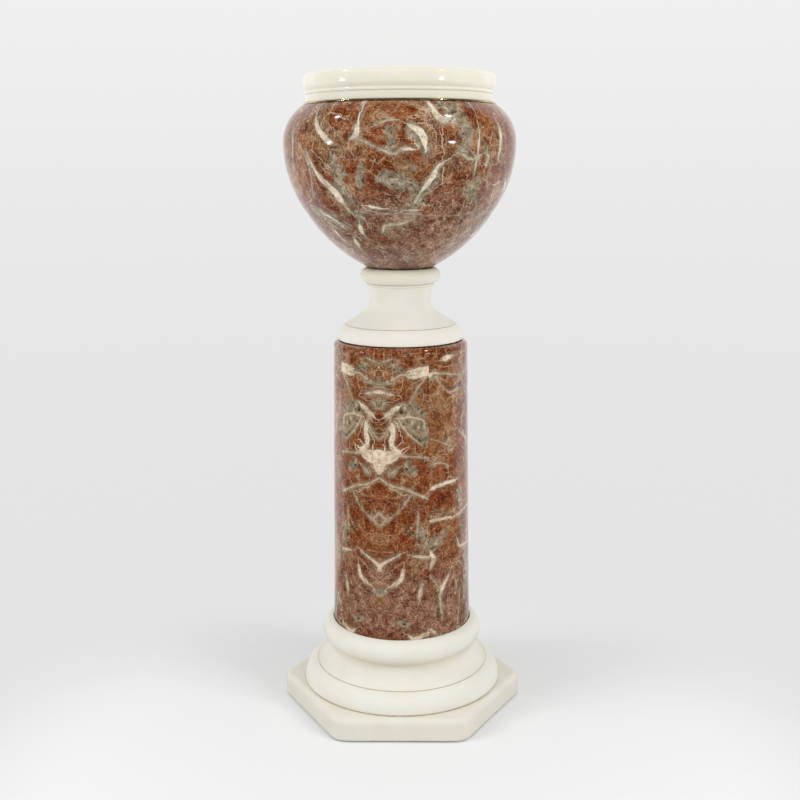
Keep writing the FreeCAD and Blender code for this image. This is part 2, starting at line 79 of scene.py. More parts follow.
def node(tree, kind, inputs=None, **settings):
    # Adds a node, sets its options, and sets or links its inputs.
    made = tree.nodes.new(kind)
    made.location = (180 * (len(tree.nodes) % 14), -260 * (len(tree.nodes) // 14))
    for name, value in settings.items():
        setattr(made, name, value)
    for name, value in (inputs or {}).items():
        if isinstance(value, bpy.types.NodeSocket):
            tree.links.new(value, made.inputs[name])
        else:
            made.inputs[name].default_value = value
    return made


def colour(red, green, blue):
    return (red, green, blue, 1)


def newMaterial(name):
    material = bpy.data.materials.new(name)
    material.use_nodes = True
    material.node_tree.nodes.clear()
    return material, material.node_tree


def ranged(tree, value, low, high, start=0.0, end=1.0, kind="LINEAR"):
    return node(tree, "ShaderNodeMapRange", {0: value, 1: low, 2: high, 3: start, 4: end},
                interpolation_type=kind).outputs[0]


def mask(tree, value, low, high):
    # 0 at low and 1 at high, with a soft step between; low may be the larger.
    return ranged(tree, value, low, high, kind="SMOOTHSTEP")


def maths(tree, operation, first, second=0.0):
    return node(tree, "ShaderNodeMath", {0: first, 1: second}, operation=operation).outputs[0]


def times(tree, first, *others):
    for other in others:
        first = maths(tree, "MULTIPLY", first, other)
    return first


def plus(tree, first, *others):
    for other in others:
        first = maths(tree, "ADD", first, other)
    return first


def minus(tree, first, second):
    return maths(tree, "SUBTRACT", first, second)


def mixed(tree, factor, first, second):
    return node(tree, "ShaderNodeMix", {0: factor, 6: first, 7: second}, data_type="RGBA").outputs[2]


def noiseAt(tree, position, scale, detail=2.0, roughness=0.5, output="Fac"):
    return node(tree, "ShaderNodeTexNoise", {
        "Vector": position, "Scale": scale, "Detail": detail, "Roughness": roughness}).outputs[output]


def colourRamp(tree, value, stops):
    # The stops run from low to high.
    made = node(tree, "ShaderNodeValToRGB", {"Fac": value})
    elements = made.color_ramp.elements
    for index, (place, tint) in enumerate([stops[0], stops[-1], *stops[1:-1]]):
        element = elements[index] if index < 2 else elements.new(place)
        element.position = place
        element.color = (*tint, 1)
    return made.outputs["Color"]


stageSet = {
    "floorColour": (0.845, 0.85, 0.855),
    "floorRadius": 9.0,
    # the floor turns into wall between these distances from a spot before the object
    "fadeFrom": (0, -0.25, 0),
    "fade": (0.42, 0.74),
    "wallStart": 0.5,
    # where gloss sees the floor turn from the dim room to the pale backdrop, metres behind the axis
    "mirrorTurn": (0.15, 0.45),
    "wallRise": (-0.06, 0.13),
    "wallLow": (0.775, 0.775, 0.775),
    "wallMiddle": (0.81, 0.81, 0.81),
    "wallHigh": (0.87, 0.87, 0.865),
}


def makeFloor():
    material, tree = newMaterial("paleFloor")
    place = node(tree, "ShaderNodeTexCoord").outputs["Object"]
    away = node(tree, "ShaderNodeVectorMath", {0: place, 1: stageSet["fadeFrom"]},
                operation="DISTANCE").outputs["Value"]
    ray = node(tree, "ShaderNodeLightPath").outputs
    shade = times(tree, mask(tree, away, *stageSet["fade"]), ray["Is Camera Ray"])
    paint = node(tree, "ShaderNodeBsdfPrincipled", {
        "Base Color": colour(*stageSet["floorColour"]), "Roughness": 0.75})
    depth = ranged(tree, away, stageSet["wallStart"], stageSet["floorRadius"])
    wall = colourRamp(tree, depth, [(0.0, stageSet["wallLow"]), (1.0, stageSet["wallMiddle"])])
    glow = node(tree, "ShaderNodeEmission", {"Color": wall, "Strength": 1.0})
    both = node(tree, "ShaderNodeMixShader", {0: shade, 1: paint.outputs[0], 2: glow.outputs[0]})
    # gloss sees it as the room: dim before the object and pale behind it
    behind = node(tree, "ShaderNodeSeparateXYZ", {0: place}).outputs["Y"]
    mirrored = ranged(tree, behind, *stageSet["mirrorTurn"], worldSet["dimRoom"], worldSet["backdrop"])
    room = node(tree, "ShaderNodeEmission", {"Color": (1, 1, 1, 1), "Strength": mirrored})
    whole = node(tree, "ShaderNodeMixShader", {
        0: ray["Is Glossy Ray"], 1: both.outputs[0], 2: room.outputs[0]})
    node(tree, "ShaderNodeOutputMaterial", {"Surface": whole.outputs[0]})
    mesh = bpy.data.meshes.new("floor")
    around, radius = 96, stageSet["floorRadius"]
    turns = [2 * math.pi * i / around for i in range(around)]
    rim = [(math.cos(turn) * radius, math.sin(turn) * radius, 0) for turn in turns]
    mesh.from_pydata(rim, [], [tuple(range(around))])
    mesh.materials.append(material)
    floor = bpy.data.objects.new("floor", mesh)
    scene.collection.objects.link(floor)


# Lamps: degrees round from the front towards +X, metres out and up, metres across and watts.
# Gloss shows only the small ones.
bigBox = {"distance": 2.4, "height": 1.5, "size": 1.0, "power": 22.5, "inGloss": False}
highLamp = {"size": 0.14, "inGloss": True}
lowLamp = {"distance": 1.5, "height": 0.85, "size": 0.17, "tall": 0.06, "power": 0.9, "inGloss": True}
lightSet = {
    "leftBox": {"around": -64, **bigBox},
    "rightBox": {"around": 54, **bigBox},
    "overhead": {"around": 0, "distance": 0.7, "height": 2.9, "size": 1.8, "power": 3, "inGloss": False},
    "leftSpark": {"around": -80, "distance": 1.35, "height": 2.25, "power": 2.2, **highLamp},
    "rightSpark": {"around": 66, "distance": 1.25, "height": 2.4, "power": 3.4, **highLamp},
    "lowLeft": {"around": -66, **lowLamp},
    "lowRight": {"around": 49, **lowLamp},
}
lampsAim = (0, 0, 0.5)
worldSet = {
    "ambient": 0.645,
    # what gloss sees: a dim room before the object and the pale backdrop behind it
    "dimRoom": 0.12, "backdrop": 1.0, "turn": (0.36, 0.48),
}


def makeLights():
    aim = Vector(lampsAim)
    for name, light in lightSet.items():
        data = bpy.data.lights.new(name, "AREA")
        data.shape = "ELLIPSE" if light["inGloss"] else "RECTANGLE"
        data.size = light["size"]
        data.size_y = light.get("tall", light["size"])
        data.energy = light["power"]
        lamp = bpy.data.objects.new(name, data)
        angle = math.radians(light["around"])
        lamp.location = (light["distance"] * math.sin(angle), -light["distance"] * math.cos(angle),
                         light["height"])
        lamp.rotation_euler = (aim - lamp.location).to_track_quat("-Z", "Y").to_euler()
        lamp.visible_glossy = light["inGloss"]
        scene.collection.objects.link(lamp)


def makeWorld():
    # One level of light all round, a dim or pale room for gloss, and the wall for the camera.
    world = bpy.data.worlds.new("studio")
    scene.world = world
    world.use_nodes = True
    tree = world.node_tree
    tree.nodes.clear()
    ray = node(tree, "ShaderNodeLightPath")
    direction = node(tree, "ShaderNodeTexCoord").outputs["Generated"]
    towards = node(tree, "ShaderNodeSeparateXYZ", {0: direction}).outputs
    mirrored = ranged(tree, towards["Y"], *worldSet["turn"], worldSet["dimRoom"], worldSet["backdrop"],
                      "SMOOTHSTEP")
    level = node(tree, "ShaderNodeMix", {
        0: ray.outputs["Is Glossy Ray"], 2: worldSet["ambient"], 3: mirrored}, data_type="FLOAT").outputs[0]
    room = node(tree, "ShaderNodeBackground", {"Color": (1, 1, 1, 1), "Strength": level})
    rise = ranged(tree, towards["Z"], *stageSet["wallRise"])
    tone = colourRamp(tree, rise, [(0.0, stageSet["wallMiddle"]), (1.0, stageSet["wallHigh"])])
    wall = node(tree, "ShaderNodeBackground", {"Color": tone, "Strength": 1.0})
    both = node(tree, "ShaderNodeMixShader", {
        0: ray.outputs["Is Camera Ray"], 1: room.outputs[0], 2: wall.outputs[0]})
    node(tree, "ShaderNodeOutputWorld", {"Surface": both.outputs[0]})


scene.view_settings.view_transform = "Standard"
makeCamera()
makeFloor()
makeLights()
makeWorld()
print("stage ready")


# Outlines: steps of (radius, height, arc radius, spacing of points) in mm
# They run anticlockwise round the solid. A positive arc swells out of it, a negative one
# cuts into it, and a step with no arc is straight.

def uprightRound(reach, rise):
    return (reach * reach + rise * rise) / (2 * reach)


def arcPoints(start, end, radius, count):
    chord = end - start
    left = Vector((-chord.y, chord.x)).normalized()
    rise = math.sqrt(max(radius * radius - chord.length_squared / 4, 0))
    centre = (start + end) / 2 + left * math.copysign(rise, radius)
    first = start - centre
    sweep = math.copysign(2 * math.asin(min(chord.length / 2 / abs(radius), 1)), radius)
    return [centre + Matrix.Rotation(sweep * (i + 1) / count, 2) @ first for i in range(count)]


def outlinePoints(steps, spacing):
    points = []
    for index, step in enumerate(steps):
        start, end = Vector(steps[index - 1][:2]), Vector(step[:2])
        fine = spacing if len(step) < 4 else step[3]
        count = max(1, round((end - start).length / fine))
        if len(step) > 2 and step[2]:
            points += arcPoints(start, end, step[2], count)
        else:
            points += [start.lerp(end, (i + 1) / count) for i in range(count)]
    return points


def softened(points, radius, sharpest=24):
    # Takes the edge off each corner that turns by more than so many degrees.
    made = []
    for index, here in enumerate(points):
        back, on = points[index - 1] - here, points[(index + 1) % len(points)] - here
        turn = 180 - math.degrees(back.angle(on, math.pi))
        if turn < sharpest:
            made.append(here)
            continue
        start = here + back.normalized() * min(radius, back.length * 0.45)
        end = here + on.normalized() * min(radius, on.length * 0.45)
        for share in (0, 0.25, 0.5, 0.75, 1):
            made.append(start.lerp(here, share).lerp(here.lerp(end, share), share))
    return made


def makeLatheTree():
    # Turns a row of outline points about the Z axis into a closed skin.
    tree = bpy.data.node_groups.new("lathe", "GeometryNodeTree")
    for label, kind in (("Outline", "Geometry"), ("Around", "Int"), ("Finish", "Material")):
        tree.interface.new_socket(label, in_out="INPUT", socket_type="NodeSocket" + kind)
    tree.interface.new_socket("Skin", in_out="OUTPUT", socket_type="NodeSocketGeometry")
    given = node(tree, "NodeGroupInput").outputs
    rows = node(tree, "GeometryNodeAttributeDomainSize", {
        "Geometry": given["Outline"]}).outputs["Point Count"]
    grid = node(tree, "GeometryNodeMeshGrid", {
        "Size X": 1, "Size Y": 1, "Vertices X": plus(tree, given["Around"], 1),
        "Vertices Y": plus(tree, rows, 1)}).outputs
    named = node(tree, "GeometryNodeStoreNamedAttribute", {
        "Geometry": grid["Mesh"], "Name": "UVMap", "Value": grid["UV Map"]},
        data_type="FLOAT2", domain="CORNER").outputs["Geometry"]
    position = node(tree, "GeometryNodeInputPosition").outputs[0]
    place = node(tree, "ShaderNodeSeparateXYZ", {0: position}).outputs
    whole = maths(tree, "ROUND", times(tree, plus(tree, place["Y"], 0.5), rows))
    row = maths(tree, "MODULO", whole, rows)
    found = node(tree, "GeometryNodeSampleIndex", {
        "Geometry": given["Outline"], "Value": position, "Index": row},
        data_type="FLOAT_VECTOR", domain="POINT").outputs["Value"]
    angle = times(tree, plus(tree, place["X"], 0.5), 2 * math.pi)
    turned = node(tree, "ShaderNodeVectorRotate", {"Vector": found, "Angle": angle},
                  rotation_type="Z_AXIS").outputs[0]
    moved = node(tree, "GeometryNodeSetPosition", {"Geometry": named, "Position": turned}).outputs[0]
    closed = node(tree, "GeometryNodeMergeByDistance", {"Geometry": moved, "Distance": 1e-6}).outputs[0]
    real = node(tree, "GeometryNodeRealizeInstances", {"Geometry": closed}).outputs[0]
    finished = node(tree, "GeometryNodeSetMaterial", {
        "Geometry": real, "Material": given["Finish"]}).outputs[0]
    node(tree, "NodeGroupOutput", {"Skin": finished})
    return tree


latheTree = makeLatheTree()
latheInputs = {item.name: item.identifier for item in latheTree.interface.items_tree}


def smoothSkin(piece, sharpest=34):
    piece.data.polygons.foreach_set("use_smooth", [True] * len(piece.data.polygons))
    piece.data.set_sharp_from_angle(angle=math.radians(sharpest))


def turnedPiece(name, steps, seat, finish, around=256, spacing=1.6, soft=0.7):
    points = softened(outlinePoints(steps, spacing), soft)
    outline = bpy.data.meshes.new(name + "Outline")
    outline.from_pydata([(p.x * mm, 0, seat + p.y * mm) for p in points], [], [])
    holder = bpy.data.objects.new(name + "Outline", outline)
    scene.collection.objects.link(holder)
    lathe = holder.modifiers.new("lathe", "NODES")
    lathe.node_group = latheTree
    lathe[latheInputs["Around"]] = around
    lathe[latheInputs["Finish"]] = finish
    graph = bpy.context.evaluated_depsgraph_get()
    mesh = bpy.data.meshes.new_from_object(holder.evaluated_get(graph))
    mesh.name = name
    mesh.materials.clear()
    mesh.materials.append(finish)
    mesh.polygons.foreach_set("material_index", [0] * len(mesh.polygons))
    bpy.data.objects.remove(holder)
    piece = bpy.data.objects.new(name, mesh)
    scene.collection.objects.link(piece)
    smoothSkin(piece)
    print(name, len(mesh.polygons), "faces")
    return piece


def standsFor(piece, cadNode, body):
    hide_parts(cadNode)
    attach(piece, body)


# Shared effects

def shaderGroup(name, inputs, outputs):
    tree = bpy.data.node_groups.new(name, "ShaderNodeTree")
    for label, kind in inputs.items():
        tree.interface.new_socket(label, in_out="INPUT", socket_type="NodeSocket" + kind)
    for label, kind in outputs.items():
        tree.interface.new_socket(label, in_out="OUTPUT", socket_type="NodeSocket" + kind)
    return tree, node(tree, "NodeGroupInput").outputs


def makeMarble():
    # Red stone: rust and tan grain, grey clouds with black specks, fine lines and cream veins.
    tree, given = shaderGroup("marble", {
        "Position": "Vector", "Vein side": "Float", "Vein half": "Float", "Cloud": "Float",
        "Ochre": "Float", "Plum": "Float"}, {"Color": "Color", "Height": "Float"})
    place = given["Position"]
    stir = noiseAt(tree, place, 70, 4, 0.6, "Color")
    centred = node(tree, "ShaderNodeVectorMath", {0: stir, 1: (0.5, 0.5, 0.5)},
                   operation="SUBTRACT").outputs[0]
    push = node(tree, "ShaderNodeVectorMath", {0: centred, "Scale": 0.016}, operation="SCALE").outputs[0]
    stirred = node(tree, "ShaderNodeVectorMath", {0: place, 1: push}, operation="ADD").outputs[0]

    grain = times(tree, noiseAt(tree, place, 360, 3, 0.65), 0.36)
    blotch = times(tree, noiseAt(tree, stirred, 80, 6, 0.72), 0.44)
    drift = times(tree, noiseAt(tree, place, 17, 3, 0.6), 0.20)
    blend = plus(tree, grain, blotch, drift)
    rust = colourRamp(tree, blend, [
        (0.430, (0.085, 0.013, 0.002)), (0.475, (0.150, 0.032, 0.006)), (0.515, (0.215, 0.060, 0.015)),
        (0.560, (0.300, 0.112, 0.038)), (0.620, (0.44, 0.25, 0.125))])
    tan = colourRamp(tree, blend, [
        (0.425, (0.085, 0.027, 0.009)), (0.470, (0.155, 0.064, 0.027)), (0.510, (0.235, 0.115, 0.053)),
        (0.555, (0.350, 0.205, 0.108)), (0.620, (0.52, 0.37, 0.23))])
    islands = mask(tree, noiseAt(tree, stirred, 24, 5, 0.62), 0.485, 0.565)
    ground = mixed(tree, islands, rust, tan)
    plumGround = colourRamp(tree, blend, [
        (0.425, (0.090, 0.028, 0.016)), (0.470, (0.155, 0.062, 0.038)), (0.510, (0.225, 0.112, 0.072)),
        (0.555, (0.335, 0.205, 0.140)), (0.620, (0.54, 0.41, 0.30))])
    patchy = mask(tree, noiseAt(tree, place, 16, 3), 0.25, 0.55)
    ground = mixed(tree, times(tree, given["Plum"], patchy), ground, plumGround)
    ochreGround = colourRamp(tree, blend, [(0.44, (0.13, 0.045, 0.010)), (0.57, (0.40, 0.21, 0.09))])
    ochre = mask(tree, plus(tree, given["Ochre"], noiseAt(tree, stirred, 60, 5, 0.7)), 0.72, 1.05)
    ground = mixed(tree, times(tree, ochre, 0.85), ground, ochreGround)

    natural = times(tree, mask(tree, noiseAt(tree, stirred, 21, 6, 0.70), 0.585, 0.65), 0.75)
    rough = times(tree, noiseAt(tree, stirred, 90, 5, 0.72), 2.2)
    drawn = mask(tree, plus(tree, given["Cloud"], rough), 1.34, 1.62)
    cloud = maths(tree, "MAXIMUM", natural, drawn)
    cloudTone = colourRamp(tree, noiseAt(tree, stirred, 120, 6, 0.70), [
        (0.35, (0.095, 0.078, 0.050)), (0.44, (0.185, 0.155, 0.104)), (0.52, (0.265, 0.230, 0.160)),
        (0.60, (0.400, 0.348, 0.250)), (0.67, (0.64, 0.56, 0.42))])
    ground = mixed(tree, times(tree, cloud, 0.88), ground, cloudTone)
    specks = mask(tree, noiseAt(tree, stirred, 150, 3, 0.6), 0.59, 0.64)
    onCloud = plus(tree, times(tree, mask(tree, cloud, 0.2, 0.8), 0.75), 0.15)
    ground = mixed(tree, times(tree, specks, onCloud), ground, colour(0.030, 0.022, 0.014))

    def thread(scale, width):
        # a thin wandering line where a slow noise crosses its middle
        level = noiseAt(tree, stirred, scale, 3, 0.55)
        return mask(tree, maths(tree, "ABSOLUTE", minus(tree, level, 0.5)), width, width * 0.2)

    def crack(scale, width):
        # a straighter broken line along the edges of cells
        cells = node(tree, "ShaderNodeTexVoronoi", {"Vector": stirred, "Scale": scale},
                     feature="DISTANCE_TO_EDGE").outputs["Distance"]
        return mask(tree, cells, width, width * 0.25)

    # kind, scale and width of line, scale and level of the patches that have it, strength, colour
    fineLines = (
        (thread, 75, 0.011, 60, 0.43, 0.70, (0.46, 0.31, 0.19)),
        (thread, 30, 0.007, 24, 0.44, 0.80, (0.54, 0.40, 0.27)),
        (crack, 70, 0.028, 35, 0.48, 0.70, (0.54, 0.41, 0.28)),
        (crack, 30, 0.016, 15, 0.48, 0.85, (0.62, 0.50, 0.36)),
        (crack, 12, 0.008, 6, 0.48, 0.80, (0.66, 0.56, 0.42)),
    )
    for kind, scale, width, patches, there, strength, tint in fineLines:
        gate = mask(tree, noiseAt(tree, place, patches, 3, 0.6), there, there + 0.14)
        ground = mixed(tree, times(tree, kind(scale, width), gate, strength), ground, colour(*tint))

    ragged = times(tree, minus(tree, noiseAt(tree, place, 150, 6, 0.75), 0.5), 0.0105)
    off = maths(tree, "ABSOLUTE", given["Vein side"])
    reach = minus(tree, plus(tree, off, ragged), given["Vein half"])
    live = mask(tree, given["Vein half"], 0.0001, 0.0006)
    halo = times(tree, mask(tree, reach, 0.0050, 0.0002), live, 0.6)
    ground = mixed(tree, halo, ground, cloudTone)
    # thin veins are fainter, and all of them fade in places
    bold = ranged(tree, given["Vein half"], 0.0007, 0.0026, 0.42, 1.0)
    whole = ranged(tree, noiseAt(tree, place, 70, 4, 0.65), 0.38, 0.52, 0.45, 1.0)
    vein = times(tree, mask(tree, reach, 0.0008, -0.0006), live, bold, whole)
    cream = colourRamp(tree, noiseAt(tree, place, 150, 5, 0.65), [
        (0.34, (0.46, 0.37, 0.26)), (0.44, (0.68, 0.58, 0.44)), (0.58, (0.82, 0.74, 0.60))])
    ground = mixed(tree, vein, ground, cream)
    node(tree, "NodeGroupOutput", {"Color": ground, "Height": noiseAt(tree, place, 160, 2)})
    return tree


def makeIvory():
    # Fired ivory body: faint mottling, a few pits, and a slightly uneven surface.
    tree, given = shaderGroup("ivory", {
        "Position": "Vector", "Tint": "Color", "Shade": "Color", "Pits": "Float",
        "Polish": "Float"}, {"Color": "Color", "Roughness": "Float", "Height": "Float"})
    place = given["Position"]
    mottle = mask(tree, noiseAt(tree, place, 26, 5, 0.6), 0.32, 0.72)
    tone = mixed(tree, times(tree, mottle, 0.55), given["Tint"], given["Shade"])
    grains = mask(tree, noiseAt(tree, place, 900, 2, 0.6), 0.66, 0.74)
    tone = mixed(tree, times(tree, grains, 0.12), tone, colour(0.45, 0.36, 0.24))
    pit = node(tree, "ShaderNodeTexVoronoi", {"Vector": place, "Scale": 34}).outputs["Distance"]
    rare = mask(tree, noiseAt(tree, place, 21, 2), 0.60, 0.66)
    hole = times(tree, mask(tree, pit, 0.075, 0.03), rare, given["Pits"])
    tone = mixed(tree, times(tree, hole, 0.55), tone, colour(0.24, 0.19, 0.12))
    rough = plus(tree, given["Polish"], times(tree, noiseAt(tree, place, 60, 4, 0.6), 0.09))
    wavy = minus(tree, noiseAt(tree, place, 45, 3, 0.5), times(tree, hole, 1.5))
    node(tree, "NodeGroupOutput", {"Color": tone, "Roughness": rough, "Height": wavy})
    return tree


def makeGiltLineOrShade():
    # A painted gilt line, or a band of painted shade, at one height of a turned piece.
    tree, given = shaderGroup("giltLineOrShade", {
        "Position": "Vector", "Level": "Float", "Half width": "Float", "Soft": "Float"}, {"Mask": "Float"})
    level = node(tree, "ShaderNodeSeparateXYZ", {0: given["Position"]}).outputs["Z"]
    off = maths(tree, "ABSOLUTE", minus(tree, level, given["Level"]))
    worn = times(tree, noiseAt(tree, given["Position"], 130, 3), 0.0003)
    edge = minus(tree, plus(tree, off, worn), given["Half width"])
    node(tree, "NodeGroupOutput", {"Mask": mask(tree, edge, given["Soft"], -0.0001)})
    return tree


marble, ivory, giltLineOrShade = makeMarble(), makeIvory(), makeGiltLineOrShade()


def useGroup(tree, group, inputs):
    return node(tree, "ShaderNodeGroup", inputs, node_tree=group).outputs


def surface(tree, inputs, bumpHeight, bumpDepth):
    bump = node(tree, "ShaderNodeBump", {"Height": bumpHeight, "Distance": bumpDepth, "Strength": 1.0})
    shader = node(tree, "ShaderNodeBsdfPrincipled", {**inputs, "Normal": bump.outputs[0]})
    node(tree, "ShaderNodeOutputMaterial", {"Surface": shader.outputs[0]})


stoneFields = {"Vein side": "veinSide", "Vein half": "veinHalf", "Cloud": "cloud", "Ochre": "ochre",
               "Plum": "plum"}


def marbledGlaze(name, onSheet, depth):
    # onSheet reads the piece's own sheet map; otherwise the stone runs through the piece.
    material, tree = newMaterial(name)
    if onSheet:
        place = node(tree, "ShaderNodeUVMap", uv_map="UVMap").outputs[0]
    else:
        place = node(tree, "ShaderNodeTexCoord").outputs["Object"]
    painted = {label: node(tree, "ShaderNodeAttribute", attribute_name=field).outputs["Fac"]
               for label, field in stoneFields.items()}
    stone = useGroup(tree, marble, {"Position": place, **painted})
    tone = node(tree, "ShaderNodeMix", {0: 1.0, 6: stone["Color"], 7: colour(*depth)}, data_type="RGBA",
                blend_type="MULTIPLY").outputs[2]
    surface(tree, {"Base Color": tone, "Roughness": 0.09, "IOR": 1.5}, stone["Height"], 0.00003)
    return material


fineGold = (0.56, 0.48, 0.32)


def ivoryGlaze(name, tint, shade, polish, pits, wave, lines=(), paintedShadeBands=()):
    # Lines are (level, half width) in gold; bands are painted shade, each (level, half width, soft edge,
    # colour).
    material, tree = newMaterial(name)
    place = node(tree, "ShaderNodeTexCoord").outputs["Object"]
    body = useGroup(tree, ivory, {"Position": place, "Tint": colour(*tint), "Shade": colour(*shade),
                                  "Pits": pits, "Polish": polish})

    def lineOrShadeMask(level, halfWidth, soft):
        return useGroup(tree, giltLineOrShade, {
            "Position": place, "Level": level, "Half width": halfWidth, "Soft": soft})["Mask"]

    inputs = {"Base Color": body["Color"], "Roughness": body["Roughness"], "IOR": 1.5}
    # each band is painted shade: its colour is mixed in over a soft stripe at one height
    for level, halfWidth, soft, tan in paintedShadeBands:
        paintedShade = times(tree, lineOrShadeMask(level, halfWidth, soft), 0.6)
        inputs["Base Color"] = mixed(tree, paintedShade, inputs["Base Color"], colour(*tan))
    metal = []
    for level, halfWidth in lines:
        line = lineOrShadeMask(level, halfWidth, 0.0002)
        inputs["Base Color"] = mixed(tree, line, inputs["Base Color"], colour(*fineGold))
        metal = [maths(tree, "MAXIMUM", metal[0], line) if metal else line]
    if metal:
        inputs["Metallic"] = times(tree, metal[0], 0.3)
    surface(tree, inputs, body["Height"], wave)
    return material


plainFinishes = {
    "giltBrass": {"tints": ((0.48, 0.38, 0.20), (0.72, 0.60, 0.36)), "scale": 90,
                  "roughness": (0.12, 0.24), "metallic": 1.0, "depth": 0.00003},
    "dullGilt": {"tints": ((0.58, 0.50, 0.33), (0.76, 0.67, 0.48)), "scale": 90,
                 "roughness": (0.14, 0.26), "metallic": 0.4, "depth": 0.00003},
    "zincSteel": {"tints": ((0.42, 0.42, 0.41), (0.62, 0.62, 0.60)), "scale": 400,
                  "roughness": (0.28, 0.45), "metallic": 1.0, "depth": 0.00003},
    "blackRubber": {"tints": ((0.012, 0.011, 0.010), (0.03, 0.028, 0.025)), "scale": 600,
                    "roughness": (0.6, 0.8), "metallic": 0.0, "depth": 0.00006},
}


def plainFinish(name):
    # Two tones broken up by noise, for gilding, steel and rubber.
    finish = plainFinishes[name]
    material, tree = newMaterial(name)
    place = node(tree, "ShaderNodeTexCoord").outputs["Object"]
    patch = noiseAt(tree, place, finish["scale"], 5, 0.65)
    tone = colourRamp(tree, patch, [(0.35, finish["tints"][0]), (0.65, finish["tints"][1])])
    rough = ranged(tree, patch, 0.3, 0.7, *finish["roughness"])
    surface(tree, {"Base Color": tone, "Roughness": rough, "Metallic": finish["metallic"]}, patch,
            finish["depth"])
    return material


# Painted veins and clouds

def smoothRoute(points, widths, steps=8):
    # A soft curve through given points, with the half width along it.
    points = np.array(points, float)
    ahead = np.vstack([2 * points[0] - points[1], points, 2 * points[-1] - points[-2]])
    made = []
    for i in range(len(points) - 1):
        a, b, c, d = ahead[i:i + 4]
        for t in np.linspace(0, 1, steps, endpoint=False):
            made.append(0.5 * (2 * b + (c - a) * t + (2 * a - 5 * b + 4 * c - d) * t ** 2
                               + (3 * b - a - 3 * c + d) * t ** 3))
    made = np.array(made + [points[-1]])
    along = np.linspace(0, 1, len(made))
    return made, np.interp(along, np.linspace(0, 1, len(widths)), widths)


veinReach = 0.02    # metres from a route that its field covers
cloudReach = 0.03


def paintRoutes(places, normals, routes, reach):
    # Signed distance to the nearest route, and that route's half width at that spot.
    side = np.full(len(places), reach)
    half = np.zeros(len(places))
    best = np.full(len(places), reach * 0.6)
    for points, widths in routes:
        line, width = smoothRoute(points, widths)
        low, high = line.min(0) - reach, line.max(0) + reach
        near = np.flatnonzero(((places > low) & (places < high)).all(1))
        spot, normal = places[near], normals[near]
        for a, b, wa, wb in zip(line[:-1], line[1:], width[:-1], width[1:]):
            run = b - a
            share = np.clip((spot - a) @ run / (run @ run), 0, 1)
            off = spot - (a + share[:, None] * run)
            far = np.sqrt((off * off).sum(1))
            wide = wa + (wb - wa) * share
            closer = far - wide < best[near]
            chosen = near[closer]
            sign = np.where((np.cross(run, normal[closer]) * off[closer]).sum(1) < 0, -1.0, 1.0)
            best[chosen] = (far - wide)[closer]
            side[chosen] = far[closer] * sign
            half[chosen] = wide[closer]
    return side, half


def paintField(places, normals, routes):
    side, half = paintRoutes(places, normals, routes, cloudReach)
    return np.where(half > 0, np.clip(1 - np.abs(side) / np.maximum(half * 1.5, 1e-6), 0, 1), 0)


def paintStone(mesh, domain, places, normals, veins, clouds, ochres, plum):
    side, half = paintRoutes(places, normals, veins, veinReach)
    fields = {"veinSide": side, "veinHalf": half, "cloud": paintField(places, normals, clouds),
              "ochre": paintField(places, normals, ochres), "plum": plum}
    for name, values in fields.items():
        attribute = mesh.attributes.new(name, "FLOAT", domain)
        attribute.data.foreach_set("value", np.ascontiguousarray(values, np.float32))


def stored(items, name, size=3):
    values = np.zeros(len(items) * size, np.float32)
    items.foreach_get(name, values)
    return values.reshape(-1, size).astype(float)


# Bowl

